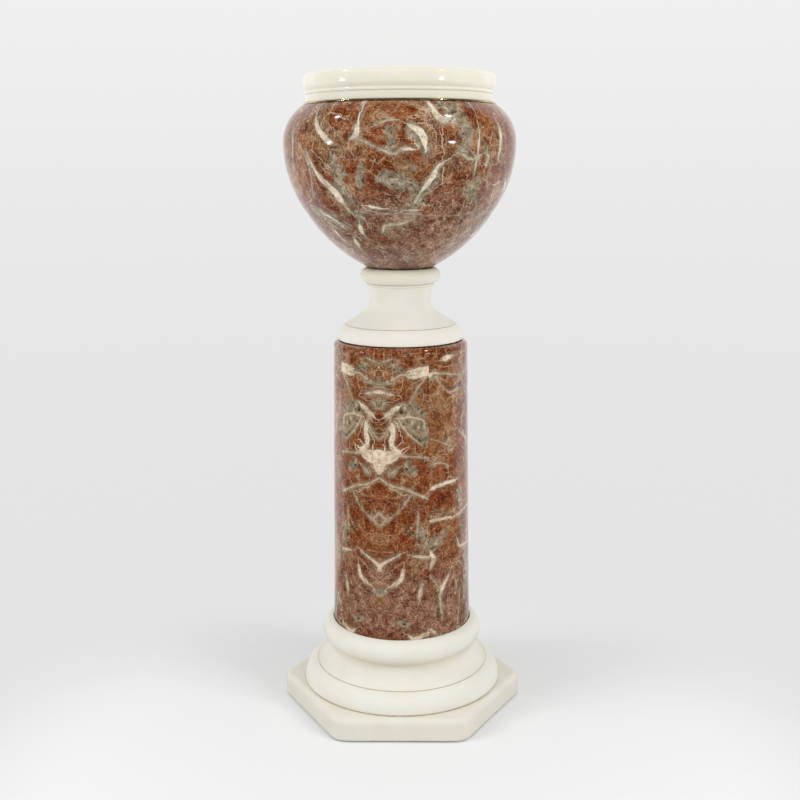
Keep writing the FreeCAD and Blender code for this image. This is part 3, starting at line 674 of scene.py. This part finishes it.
bowlSet = {
    "foot": 48.5, "waist": (132.5, 76.5), "belly": (164.4, 173), "mouth": (138, 224),
    "sweep": 212, "wall": 9, "floor": 10, "land": 18.5, "hole": 6.5, "around": 440, "spacing": 2.3,
    # veins: degrees round from the front, height over the floor and half widths, in mm
    "veins": [
        ([(-46, 882), (-42, 862), (-35, 843), (-30, 836)], [0.8, 2.8, 4.2, 0.6]),
        ([(-18, 889), (-18, 872), (-19, 848), (-22, 840)], [3.4, 3.4, 3.8, 0.6]),
        ([(-48, 828), (-42, 796), (-34, 775), (-28, 752)], [0.8, 2.0, 4.0, 5.2, 3.5]),
        ([(-53, 836), (-47, 805), (-50, 768)], [0.7, 1.2, 0.6]),
        ([(-24, 734), (-25, 722), (-23, 712)], [1.2, 3.4, 2.0, 0.5]),
        ([(-15, 755), (-5, 753), (10, 750)], [2.4, 2.2, 1.0, 2.0]),
        ([(-20, 748), (-8, 747), (2, 748)], [0.9, 0.9]),
        ([(8, 757), (11.5, 774), (16.5, 792), (19, 806), (25, 818), (31, 828)],
         [1.0, 1.6, 3.4, 2.6, 1.8, 1.0]),
        ([(-52, 748), (-43, 737), (-38, 728)], [1.0, 2.8, 1.0]),
        ([(-48, 719), (-46, 706)], [2.4, 1.0]),
        ([(-18, 747), (10, 746), (44, 744)], [0.6, 0.9, 0.6]),
        ([(41, 885), (41, 866), (40, 836), (39, 806), (38, 777), (38, 746), (48, 698)],
         [1.8, 2.0, 1.9, 1.3, 1.0, 0.8, 0.7]),
        ([(56, 858), (56, 836), (55, 815)], [1.5, 3.0, 2.8, 0.7]),
        ([(16, 888), (19, 871), (22, 864), (27, 870)], [2.2, 4.4, 5.0, 1.2]),
        ([(5, 858), (10, 850), (12, 840), (13, 823)], [1.5, 4.6, 4.6, 1.0]),
        ([(2, 828), (6, 828)], [1.8, 2.2]),
        ([(-17, 840), (-9, 830), (-2, 822), (2, 828)], [0.8, 1.1, 0.9]),
        ([(-10, 858), (-4, 864), (4, 860), (9, 860), (14, 867)], [0.8, 1.0, 1.2, 0.8]),
        ([(-10, 722), (-8, 730), (1, 732), (8, 738)], [1.4, 1.6, 1.0]),
        ([(-34, 710), (-34, 696)], [1.6, 3.0, 0.7]),
        ([(-62, 872), (-60, 840), (-63, 800)], [0.7, 1.4, 0.7]),
        ([(30, 823), (36, 815), (43, 822)], [0.9, 1.3, 0.7]),
    ],
    "clouds": [
        ([(24, 884), (29, 872), (33, 852), (32, 828)], [9, 13, 12, 8]),
        ([(8, 757), (12, 774), (18, 794)], [9, 11, 8]),
        ([(-27, 800), (-30, 782), (-27, 762)], [7, 8, 7]),
        ([(-8, 792), (0, 788), (8, 784)], [8, 13, 8]),
        ([(9, 772), (11, 760)], [8, 7]),
        ([(6, 856), (9, 842), (13, 826)], [8, 12, 6]),
        ([(-17, 808), (-18, 792), (-19, 778)], [5, 7, 5]),
        ([(-4, 852), (-2, 838), (-4, 828)], [7, 7, 5]),
        ([(38, 790), (40, 778), (44, 764)], [8, 14, 8]),
        ([(-58, 752), (-46, 738), (-34, 728)], [7, 12, 8]),
        ([(-31, 822), (-31, 808), (-30, 794)], [6, 8, 5]),
        ([(44, 830), (46, 812)], [6, 6]),
        ([(-43, 872), (-38, 850)], [5, 6]),
        ([(-26, 752), (-22, 738)], [6, 6]),
    ],
    "ochres": [([(36, 838), (42, 850)], [9, 8]), ([(0, 812), (6, 806)], [8, 8])],
    # for the unseen sides: how many, degrees, heights, length of steps and half widths
    "backVeins": (40, (68, 292), (690, 885), (8, 26), (0.8, 3.8)),
    "backClouds": (30, (68, 292), (690, 880), (8, 16), (6, 13)),
    # height under which the ground turns to plum, and over how much, in metres
    "plumFrom": 0.80, "plumOver": 0.06, "depth": (1.0, 0.98, 0.97),
    "lining": {"tint": (0.70, 0.66, 0.56), "shade": (0.62, 0.57, 0.46), "polish": 0.2, "pits": 0.5,
               "wave": 0.0001},
}


def bowlSteps():
    size = bowlSet
    (waistR, waistZ), (bellyR, bellyZ), (mouthR, mouthZ) = size["waist"], size["belly"], size["mouth"]
    bellyRound = uprightRound(bellyR - waistR, bellyZ - waistZ)
    shoulderRound = uprightRound(bellyR - mouthR, mouthZ - bellyZ)
    wall = size["wall"]
    lean = wall / bellyRound
    innerWaist = (waistR - lean * (waistR - bellyR + bellyRound), waistZ + lean * (bellyZ - waistZ))
    innerBelly = bellyR - wall
    innerMouth = mouthR - size["land"]
    fine = size["spacing"]
    return [
        (size["hole"], 0),
        (size["foot"], 0),
        (waistR, waistZ, size["sweep"], fine),
        (bellyR, bellyZ, bellyRound, fine),
        (mouthR, mouthZ, shoulderRound, fine),
        (innerMouth, mouthZ),
        (innerBelly, bellyZ, -uprightRound(innerBelly - innerMouth, mouthZ - bellyZ)),
        (*innerWaist, -uprightRound(innerBelly - innerWaist[0], bellyZ - innerWaist[1])),
        (size["foot"], size["floor"], -(size["sweep"] - wall)),
        (size["hole"], size["floor"]),
    ]


def outerRadius(mesh):
    # Outer radius of the bowl at a height over the floor, both in metres.
    places = stored(mesh.vertices, "co")
    level = np.round(places[:, 2], 4)
    radius = np.hypot(places[:, 0], places[:, 1])
    heights = np.unique(level)
    widest = np.array([radius[level == height].max() for height in heights])
    # a height at which only the lining has points stands out by a jump
    keep = np.concatenate([[True], np.abs(np.diff(widest)) < 0.02])
    return lambda height: np.interp(height, heights[keep], widest[keep])


def onBowl(radiusAt, routes):
    made = []
    for points, widths in routes:
        route = []
        for degrees, height in points:
            angle, level = math.radians(degrees), height * mm
            radius = radiusAt(level)
            route.append((radius * math.sin(angle), -radius * math.cos(angle), level))
        made.append((route, [width * mm for width in widths]))
    return made


def wanderingRoutes(rng, count, angles, heights, length, width):
    # Veins for the sides that the photograph doesn't show, drawn by a seeded walk.
    made = []
    for _ in range(count):
        angle, height = rng.uniform(*angles), rng.uniform(*heights)
        lean = rng.choice((-1, 1)) * rng.uniform(0.1, 0.8)
        points = []
        for _ in range(rng.randint(4, 7)):
            points.append((angle, min(max(height, heights[0]), heights[1])))
            step = rng.uniform(*length)
            angle += step * lean * 0.4 + rng.uniform(-3, 3)
            height -= step * rng.uniform(0.3, 1)
        wide = rng.uniform(*width)
        made.append((points, [wide * rng.uniform(0.1, 1) for _ in range(6)] + [wide * 0.1]))
    return made


def makeBowl():
    size, low = bowlSet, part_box("bowl")[0].z
    outside = marbledGlaze("marbledBowlGlaze", onSheet=False, depth=size["depth"])
    piece = turnedPiece("marbledBowl", bowlSteps(), low, outside, around=size["around"], spacing=7)
    mesh = piece.data
    radiusAt = outerRadius(mesh)
    rng = random.Random(11)
    veins = size["veins"] + wanderingRoutes(rng, *size["backVeins"])
    clouds = size["clouds"] + wanderingRoutes(rng, *size["backClouds"])
    places = stored(mesh.vertices, "co")
    plum = np.clip((size["plumFrom"] - places[:, 2]) / size["plumOver"], 0, 1)
    routes = [onBowl(radiusAt, drawn) for drawn in (veins, clouds, size["ochres"])]
    paintStone(mesh, "POINT", places, stored(mesh.vertices, "normal"), *routes, plum)
    standsFor(piece, "bowl", "planter")
    # the inside and its floor are plain glaze
    mesh.materials.append(ivoryGlaze("bowlLining", **size["lining"]))
    for face in mesh.polygons:
        inward = face.normal.x * face.center.x + face.normal.y * face.center.y < -1e-6
        if inward or (face.normal.z > 0.9 and face.center.z < low + 0.02):
            face.material_index = 1


makeBowl()


# Column

columnSet = {
    "foot": 104, "top": 98.2, "height": 440, "lip": 9, "wall": 9, "dish": (62, 8), "hole": 6.5,
    "bevel": 8, "around": 280, "spacing": 2.3, "depth": (0.95, 0.88, 0.82),
    # the printed sheet: radius it is laid at and how far off its upside-down copy starts, in metres
    "sheetRadius": 0.101, "copyAt": 2.0,
    # panels round the column: from and to in degrees, mirrored about, start of the sheet, upside down
    "panels": [(-58, 24, -17, 0.0, False), (24, 112, None, 1.0, False),
               (112, 206, 159, 0.0, True), (206, 302, None, 1.0, True)],
    # veins on the mirrored sheet: across from its fold, up from the foot, half widths, in mm
    "foldVeins": [
        ([(97, 408), (68, 408), (48, 408)], [5.0, 7.0, 6.0, 3.0]),
        ([(66, 403), (48, 400), (34, 404), (20, 398)], [2.4, 2.0, 1.2, 0.8]),
        ([(26, 424), (20, 426), (6, 422), (0, 420)], [0.58, 0.58]),
        ([(24, 392), (1, 390)], [0.5, 0.72]),
        ([(20, 376), (1, 379)], [1.4, 2.2]),
        ([(70, 402), (54, 382), (45, 366)], [0.72, 0.72, 0.5]),
        ([(28, 358), (11, 346)], [2.6, 3.6, 2.8]),
        ([(28, 342), (43, 344), (64, 338), (66, 326)], [1.3, 1.3, 1.01]),
        ([(29, 338), (42, 320), (58, 306)], [1.15, 1.15, 0.72]),
        ([(17, 344), (16, 334), (10, 322), (0, 310)], [0.65, 0.65]),
        ([(20, 331), (20, 316), (18, 309), (21, 298)], [3.2, 4.2, 3.2, 3.4]),
        ([(25, 292), (14, 286), (0, 283)], [7.0, 9.0, 10.0]),
        ([(0, 284), (0, 272), (0, 260)], [13.0, 8.0, 1.2]),
        ([(79, 282), (57, 286), (30, 288)], [0.86, 0.94]),
        ([(0, 256), (17, 245), (42, 238), (69, 224)], [1.15, 1.3, 1.15]),
        ([(56, 204), (54, 168)], [0.86, 0.86]),
        ([(0, 204), (8, 194), (0, 184)], [0.79, 0.79]),
        ([(46, 232), (33, 212)], [0.58, 0.58]),
        ([(26, 206), (6, 186)], [0.58, 0.58]),
        ([(28, 142), (3, 126), (0, 118)], [1.6, 2.4, 3.0]),
        ([(34, 120), (31, 106), (22, 98), (12, 92)], [1.6, 3.0, 3.0, 0.8]),
        ([(63, 96), (57, 72)], [1.01, 1.01]),
        ([(93, 132), (50, 140)], [2.0, 1.8]),
        ([(69, 20), (50, 14), (43, 18)], [3.0, 2.6, 2.0]),
        ([(60, 98), (56, 74)], [0.8, 2.2, 0.8]),
    ],
    "foldClouds": [
        ([(23, 414), (30, 412)], [8, 6]),
        ([(0, 392), (12, 392)], [4, 4]),
        ([(30, 356), (46, 354), (60, 346)], [9, 12, 9]),
        ([(0, 362), (7, 361)], [11, 9]),
        ([(38, 340), (54, 331), (67, 314)], [12, 18, 13]),
        ([(44, 276), (45, 266)], [7, 9]),
        ([(17, 262), (22, 268)], [7, 7]),
        ([(0, 84), (8, 84)], [6, 6]),
        ([(60, 180), (70, 150)], [6, 5]),
        ([(28, 40), (40, 36)], [7, 6]),
        ([(66, 410), (50, 408)], [10, 8]),
    ],
    "foldOchres": [
        ([(0, 164), (8, 162)], [12, 10]),
        ([(0, 71), (3, 70)], [9, 7]),
        ([(58, 370), (66, 340)], [7, 7]),
    ],
    # veins on the plain sheet beside it
    "plainVeins": [
        ([(23, 422), (34, 424), (46, 425)], [1.5, 4.0, 3.0, 1.0]),
        ([(2, 402), (11, 404), (60, 396)], [3.4, 2.0, 1.2, 0.8]),
        ([(12, 398), (24, 384), (37, 374), (56, 376)], [0.72, 0.72, 1.15]),
        ([(92, 402), (72, 394), (49, 384)], [0.86, 0.94, 0.58]),
        ([(61, 314), (83, 298), (84, 288)], [1.0, 2.0, 1.0]),
        ([(3, 272), (18, 274), (33, 268)], [1.01, 0.72]),
        ([(6, 238), (25, 242), (48, 243)], [2.6, 2.8, 2.4]),
        ([(-2, 190), (36, 190), (42, 188), (90, 196)], [2.0, 1.8, 1.2]),
        ([(54, 150), (60, 140), (84, 138)], [1.2, 2.0, 1.6]),
        ([(0, 144), (7, 132), (-2, 116)], [2.6, 3.2, 2.2]),
        ([(1, 108), (15, 88)], [0.72, 0.72]),
        ([(33, 102), (22, 86), (17, 70), (20, 46)], [1.6, 3.2, 1.6, 1.0]),
        ([(48, 92), (51, 78)], [0.72, 1.01, 0.58]),
        ([(59, 72), (53, 20)], [0.86, 0.72]),
        ([(4, 24), (8, 20)], [2.4, 2.0]),
    ],
    "plainClouds": [
        ([(4, 152), (14, 160), (34, 174)], [9, 10, 5]),
        ([(30, 306), (40, 290)], [7, 6]),
        ([(10, 404), (2, 396)], [7, 7]),
        ([(60, 224), (62, 206)], [7, 6]),
        ([(76, 130), (84, 100)], [8, 8]),
    ],
    "plainOchres": [([(14, 360), (18, 330), (12, 304)], [17, 20, 14]), ([(40, 352), (44, 330)], [10, 10])],
    # for the rest of the plain sheet: how many, across, heights, length of steps and half widths
    "moreVeins": (13, (70, 150), (10, 430), (8, 26), (0.8, 2.8)),
    "moreClouds": (9, (70, 150), (10, 430), (6, 14), (5, 10)),
    # height under which the ground turns to plum, over how much in metres, and how far it turns
    "plumFrom": 0.16, "plumOver": 0.08, "plumShare": 0.9,
}


def columnSteps():
    size = columnSet
    dishR, dishDepth = size["dish"]
    top, lip, wall = size["top"], size["lip"], size["wall"]
    deck = size["height"] - dishDepth - wall
    return [
        (size["foot"] - wall, 0),
        (size["foot"], 0),
        (top, size["height"] - lip, None, size["spacing"]),
        (top - lip, size["height"], lip, 1.2),
        (dishR, size["height"]),
        (dishR, size["height"] - dishDepth),
        (size["hole"], size["height"] - dishDepth),
        (size["hole"], deck),
        (top - wall - size["bevel"], deck),
        (top - wall, deck - size["bevel"]),
    ]


def laySheets(mesh, low):
    # Each panel takes its part of the printed sheet; a mirrored one folds it about a line.
    uv = mesh.uv_layers["UVMap"].uv
    seam = columnSet["panels"][0][0]
    corner = np.zeros(len(uv), np.int32)
    mesh.loops.foreach_get("vertex_index", corner)
    up = stored(mesh.vertices, "co")[corner, 2] - low
    middle = stored(mesh.polygons, "center")
    faceDegrees = np.degrees(np.arctan2(middle[:, 0], -middle[:, 1]))
    faceDegrees = np.repeat((faceDegrees - seam) % 360 + seam, 4)[:len(uv)]
    # the lathe starts at +X, a quarter turn on from the front
    degrees = stored(uv, "vector", 2)[:, 0] * 360 + 90
    degrees = faceDegrees + (degrees - faceDegrees + 180) % 360 - 180
    across, height = np.zeros(len(uv)), up.copy()
    for start, end, fold, sheetStart, upsideDown in columnSet["panels"]:
        here = (faceDegrees >= start) & (faceDegrees < end)
        turn = np.abs(degrees - fold) if fold is not None else degrees - start
        across[here] = np.radians(turn[here]) * columnSet["sheetRadius"] + sheetStart
        if upsideDown:
            height[here] = columnSet["height"] * mm - up[here]
            across[here] += columnSet["copyAt"]
    sheet = np.stack([across, height], 1)
    uv.foreach_set("vector", sheet.astype(np.float32).ravel())
    return sheet


def onSheet(fold, plain):
    # Routes of the folded sheet start at 0 m and those of the plain one at 1 m.
    return [([(start + x * mm, y * mm, 0) for x, y in points], [w * mm for w in widths])
            for start, routes in ((0, fold), (1, plain)) for points, widths in routes]


def makeColumn():
    size, low = columnSet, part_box("column_shell")[0].z
    glaze = marbledGlaze("marbledColumnGlaze", onSheet=True, depth=size["depth"])
    piece = turnedPiece("marbledColumn", columnSteps(), low, glaze, around=size["around"], spacing=14)
    mesh = piece.data
    sheet = laySheets(mesh, low)
    places = np.stack([sheet[:, 0] % size["copyAt"], sheet[:, 1], np.zeros(len(sheet))], 1)
    normals = np.tile([0.0, 0.0, 1.0], (len(sheet), 1))
    rng = random.Random(5)
    veins = size["plainVeins"] + wanderingRoutes(rng, *size["moreVeins"])
    clouds = size["plainClouds"] + wanderingRoutes(rng, *size["moreClouds"])
    routes = (onSheet(size["foldVeins"], veins), onSheet(size["foldClouds"], clouds),
              onSheet(size["foldOchres"], size["plainOchres"]))
    plum = np.clip((size["plumFrom"] - sheet[:, 1]) / size["plumOver"], 0, 1) * size["plumShare"]
    paintStone(mesh, "CORNER", places, normals, *routes, plum)
    standsFor(piece, "column_shell", "stand")


makeColumn()


# Ivory pieces

socleSet = {
    "spigot": (61.2, 5), "bell": (53.2, 12), "foot": 90.8, "flange": (80.3, 21.5), "flangeRound": 28,
    "flare": (52, 40.5), "flareSweep": 124, "neck": (43.9, 58), "line": (48.9, 80.4),
    "disc": (57.9, 92.7), "height": 102.5, "wall": 8, "top": 10, "hole": 6.5, "groove": 0.8,
    # the top band is painted shade where the socle meets the bowl: half width, soft edge and colour
    "underLine": 3.2, "topPaintedShade": (0.006, 0.020, (0.74, 0.69, 0.51)),
    "glaze": {"tint": (0.775, 0.75, 0.68), "shade": (0.735, 0.705, 0.61), "polish": 0.46, "pits": 0.05,
              "wave": 0.00003},
}


def makeSocle():
    size, low = socleSet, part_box("socle")[0].z
    spigotR, spigot = size["spigot"]
    raised = {name: (size[name][0], size[name][1] + spigot)
              for name in ("flange", "flare", "neck", "line", "disc")}
    top = size["height"] + spigot
    discTop = size["height"] - size["disc"][1]
    groove = size["groove"]
    flangeR, flangeZ = raised["flange"]
    lineR, lineZ = raised["line"]
    neckR = raised["neck"][0]
    steps = [
        (size["bell"][0], 0),
        (spigotR, 0),
        (spigotR, spigot),
        (size["foot"], spigot),
        (flangeR, flangeZ - groove / 2, size["flangeRound"], 1.2),
        (flangeR - groove, flangeZ - 0.1, None, 0.5),
        (flangeR - groove * 0.6, flangeZ + groove * 0.6, None, 0.5),
        (*raised["flare"], -size["flareSweep"], 1.4),
        (*raised["neck"], -uprightRound(size["flare"][0] - neckR, size["neck"][1] - size["flare"][1]), 1.2),
        (lineR, lineZ - groove / 2, -uprightRound(lineR - neckR, size["line"][1] - size["neck"][1]), 1.2),
        (lineR - groove * 0.7, lineZ, None, 0.5),
        (lineR + 0.3, lineZ + groove / 2, None, 0.5),
        (*raised["disc"], uprightRound(size["disc"][0] - lineR, size["disc"][1] - size["line"][1]), 1.0),
        (size["disc"][0] - discTop, top, discTop, 1.0),
        (size["hole"], top),
        (size["hole"], top - size["top"]),
        (neckR - size["wall"], top - size["top"]),
        (neckR - size["wall"], raised["neck"][1]),
        (size["bell"][0], size["bell"][1] + spigot),
    ]
    lines = [(flangeZ, 0.0005), (lineZ, 0.0005), (lineZ - size["underLine"], 0.0003)]
    glaze = ivoryGlaze("socleGlaze", **size["glaze"],
                       lines=[(low + level * mm, half) for level, half in lines],
                       paintedShadeBands=[(low + top * mm, *size["topPaintedShade"])])
    piece = turnedPiece("ivorySocle", steps, low, glaze, spacing=6)
    standsFor(piece, "socle", "planter")


mouldingSet = {
    "foot": 150, "line": (130, 26.9), "waist": 107, "torus": (120, 75.9), "torusRound": 20,
    "seat": (104.6, 80.9), "wall": 9, "hole": 30, "groove": 0.8,
    # painted shade and reflection under the torus: how far below its middle, half width, soft edge and
    # colour
    "shadeBelow": 17, "torusPaintedShade": (0.004, 0.010, (0.70, 0.63, 0.50)),
    "glaze": {"tint": (0.775, 0.755, 0.68), "shade": (0.735, 0.705, 0.61), "polish": 0.48, "pits": 0.06,
              "wave": 0.00004},
}


def makeMoulding():
    size, low = mouldingSet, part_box("base_moulding")[0].z
    (lineR, lineZ), (torusR, torusZ) = size["line"], size["torus"]
    (seatR, seatZ), wall, waist = size["seat"], size["wall"], size["waist"]
    centre = torusR - size["torusRound"]
    waistZ = torusZ - math.sqrt(size["torusRound"] ** 2 - (waist - centre) ** 2)
    crownZ = torusZ + math.sqrt(size["torusRound"] ** 2 - (seatR - centre) ** 2)
    ovolo = uprightRound(size["foot"] - lineR, lineZ)
    scotia = uprightRound(lineR - waist, waistZ - lineZ)
    innerScotia, innerFoot = scotia + wall, lineR - wall
    drop = math.sqrt(innerScotia ** 2 - (waist + scotia - innerFoot) ** 2)
    groove = size["groove"]
    steps = [
        (innerFoot, 0),
        (size["foot"], 0),
        (lineR, lineZ - groove / 2, ovolo, 1.6),
        (lineR - groove * 0.7, lineZ - groove * 0.3, None, 0.5),
        (lineR - groove, lineZ + groove * 0.5, None, 0.5),
        (waist, waistZ, -scotia, 1.6),
        (torusR, torusZ, size["torusRound"], 1.4),
        (seatR, crownZ, size["torusRound"], 1.4),
        (seatR, seatZ),
        (size["hole"], seatZ),
        (size["hole"], seatZ - wall),
        (waist - wall, seatZ - wall),
        (waist - wall, waistZ),
        (innerFoot, waistZ - drop, innerScotia),
    ]
    glaze = ivoryGlaze("mouldingGlaze", **size["glaze"], lines=[(low + lineZ * mm, 0.0005)],
                       paintedShadeBands=[(low + (torusZ - size["shadeBelow"]) * mm, *size["torusPaintedShade"])])
    piece = turnedPiece("ivoryMoulding", steps, low, glaze, around=300, spacing=8)
    standsFor(piece, "base_moulding", "stand")


collarSet = {
    "lip": (119, 6), "spigot": 126.5, "ring": 4, "neck": 131, "fillet": (14, 5, 1.6),
    "bead": (134.45, 28), "beadRound": 8, "beadFace": 28, "height": 43.5, "mouth": 112.5,
    "mouthRound": 5.5,
    "glaze": {"tint": (0.79, 0.76, 0.65), "shade": (0.765, 0.725, 0.60), "polish": 0.06, "pits": 0.1,
              "wave": 0.00002},
}


def makeCollar():
    size, low = collarSet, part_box("rim_collar")[0].z
    lipR, lip = size["lip"]
    neck = size["neck"]
    filletLow = lip + size["fillet"][0]
    filletHigh = filletLow + size["fillet"][1]
    proud = size["fillet"][2]
    filletRound = uprightRound(proud, size["fillet"][1] / 2)
    beadR, beadLow = size["bead"][0], lip + size["bead"][1]
    top = lip + size["height"]
    steps = [
        (size["mouth"], 0),
        (lipR, 0),
        (lipR, lip),
        (size["spigot"], lip),
        (size["spigot"], lip + size["ring"]),
        (neck, lip + size["ring"]),
        (neck, filletLow, None, 1.4),
        (neck + proud, (filletLow + filletHigh) / 2, filletRound, 0.6),
        (neck, filletHigh, filletRound, 0.6),
        (beadR, beadLow, uprightRound(beadR - neck, beadLow - filletHigh), 0.9),
        (beadR, top - size["beadRound"], size["beadFace"], 0.9),
        (beadR - size["beadRound"], top, size["beadRound"], 0.9),
        (size["mouth"] + size["mouthRound"], top, None, 2.0),
        (size["mouth"], top - size["mouthRound"], size["mouthRound"], 0.9),
    ]
    glaze = ivoryGlaze("collarGlaze", **size["glaze"])
    piece = turnedPiece("ivoryCollar", steps, low, glaze, around=300, spacing=3, soft=0.6)
    standsFor(piece, "rim_collar", "planter")


giltSet = {
    "rim": {"outer": 135.5, "inner": 127, "round": 2},
    "base": {"outer": 150.8, "inner": 141.8, "height": 1.6, "round": 0.9, "edge": 0.5},
}


def makeGiltRings():
    outer, inner, half = giltSet["rim"].values()
    rim = [(inner, 0), (outer - half, 0), (outer, half, half, 0.4), (outer - half, 2 * half, half, 0.4),
           (inner, 2 * half)]
    outer, inner, height, curve, edge = giltSet["base"].values()
    base = [(inner, 0), (outer - edge, 0), (outer, height / 2, curve, 0.3),
            (outer - edge, height, curve, 0.3), (inner, height)]
    for name, cadNode, body, steps, finish in (
            ("giltRimRing", "rim_gilt_ring", "planter", rim, "giltBrass"),
            ("giltBaseRing", "base_gilt_ring", "stand", base, "dullGilt")):
        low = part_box(cadNode)[0].z
        piece = turnedPiece(name, steps, low, plainFinish(finish), around=300, spacing=3, soft=0.1)
        standsFor(piece, cadNode, body)


makeSocle()
makeMoulding()
makeCollar()
makeGiltRings()


# Plinth

plinthSet = {
    "flats": 320, "corner": 28, "topRound": 9, "footRound": 1.5, "sides": 6, "cornerSteps": 9,
    "sideSteps": 34, "unevenness": 0.45, "unevenFrom": 120,
    "glaze": {"tint": (0.75, 0.722, 0.64), "shade": (0.705, 0.67, 0.57), "polish": 0.48, "pits": 0.7,
              "wave": 0.00025},
}


def hexagonRing(inset):
    # Rounded hexagon, inset by so many mm, as points in mm; its flats face -Y and +Y.
    size = plinthSet
    apothem = size["flats"] / 2
    reach = (apothem - size["corner"]) / math.cos(math.pi / size["sides"])
    radius = size["corner"] - inset
    spread = math.pi / size["sides"]
    turns = np.linspace(-spread, spread, size["cornerSteps"])
    arcs = []
    for side in range(size["sides"]):
        angle = 2 * spread * side
        centre = Vector((reach * math.cos(angle), reach * math.sin(angle)))
        arcs.append([centre + radius * Vector((math.cos(angle + t), math.sin(angle + t))) for t in turns])
    points, steps = [], size["sideSteps"]
    for arc, after in zip(arcs, arcs[1:] + arcs[:1]):
        points += arc + [arc[-1].lerp(after[0], (i + 1) / steps) for i in range(steps - 1)]
    return points


def makePlinth():
    size = plinthSet
    low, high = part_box("plinth")
    thick = (high.z - low.z) / mm
    levels = []
    for share in np.linspace(0, 1, 4):
        turn = math.pi / 2 * share
        levels.append((size["footRound"] * (1 - math.sin(turn)), size["footRound"] * (1 - math.cos(turn))))
    for height in np.linspace(size["footRound"], thick - size["topRound"], 10)[1:-1]:
        levels.append((0, height))
    for share in np.linspace(0, 1, 9):
        turn = math.pi / 2 * share
        levels.append((size["topRound"] * (1 - math.cos(turn)),
                       thick - size["topRound"] * (1 - math.sin(turn))))
    rings = [[Vector((p.x, p.y, height)) for p in hexagonRing(inset)] for inset, height in levels]

    def drawnIn(ring, shares):
        return [[Vector((p.x * share, p.y * share, p.z)) for p in ring] for share in shares]

    rings = drawnIn(rings[0], (0.2, 0.5, 0.9)) + rings + drawnIn(rings[-1], (0.9, 0.75, 0.5, 0.2))
    corners, faces = [], []
    count = len(rings[0])
    for ring in rings:
        for point in ring:
            # a cast slab is never quite true: its sides hollow a little, never swell
            lump = noise.noise(point * 0.022) * 0.5 + noise.noise(point * 0.07) * 0.25 + 0.5
            inset = size["unevenness"] * lump
            away = Vector((point.x, point.y, 0))
            if away.length > size["unevenFrom"]:
                point = point - away.normalized() * inset
            corners.append((point.x * mm, point.y * mm, low.z + point.z * mm))
    for row in range(len(rings) - 1):
        for i in range(count):
            a, b = row * count + i, row * count + (i + 1) % count
            faces.append((a, b, b + count, a + count))
    bottom, top = len(corners), len(corners) + 1
    corners += [(0, 0, low.z), (0, 0, high.z)]
    last = (len(rings) - 1) * count
    for i in range(count):
        faces.append((bottom, (i + 1) % count, i))
        faces.append((top, last + i, last + (i + 1) % count))
    mesh = bpy.data.meshes.new("ivoryPlinth")
    mesh.from_pydata(corners, [], faces)
    mesh.materials.append(ivoryGlaze("plinthGlaze", **size["glaze"]))
    piece = bpy.data.objects.new("ivoryPlinth", mesh)
    scene.collection.objects.link(piece)
    smoothSkin(piece)
    standsFor(piece, "plinth", "stand")
    print("ivoryPlinth", len(mesh.polygons), "faces")


makePlinth()


# Hardware, pads and gaskets keep their CAD shapes

hardware = {
    "zincSteel": ("tie_rod", "tie_rod_nuts", "tie_rod_washers", "planter_bolt", "planter_bolt_nut",
                  "planter_bolt_washers"),
    "blackRubber": ("foot_pads", "tie_rod_cushions", "planter_bolt_seals", "column_foot_gasket",
                    "column_top_gasket", "bowl_foot_gasket"),
}
for finishName, names in hardware.items():
    finish = plainFinish(finishName)
    for name in names:
        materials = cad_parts[name].data.materials
        materials.clear()
        materials.append(finish)
print("hardware finished")
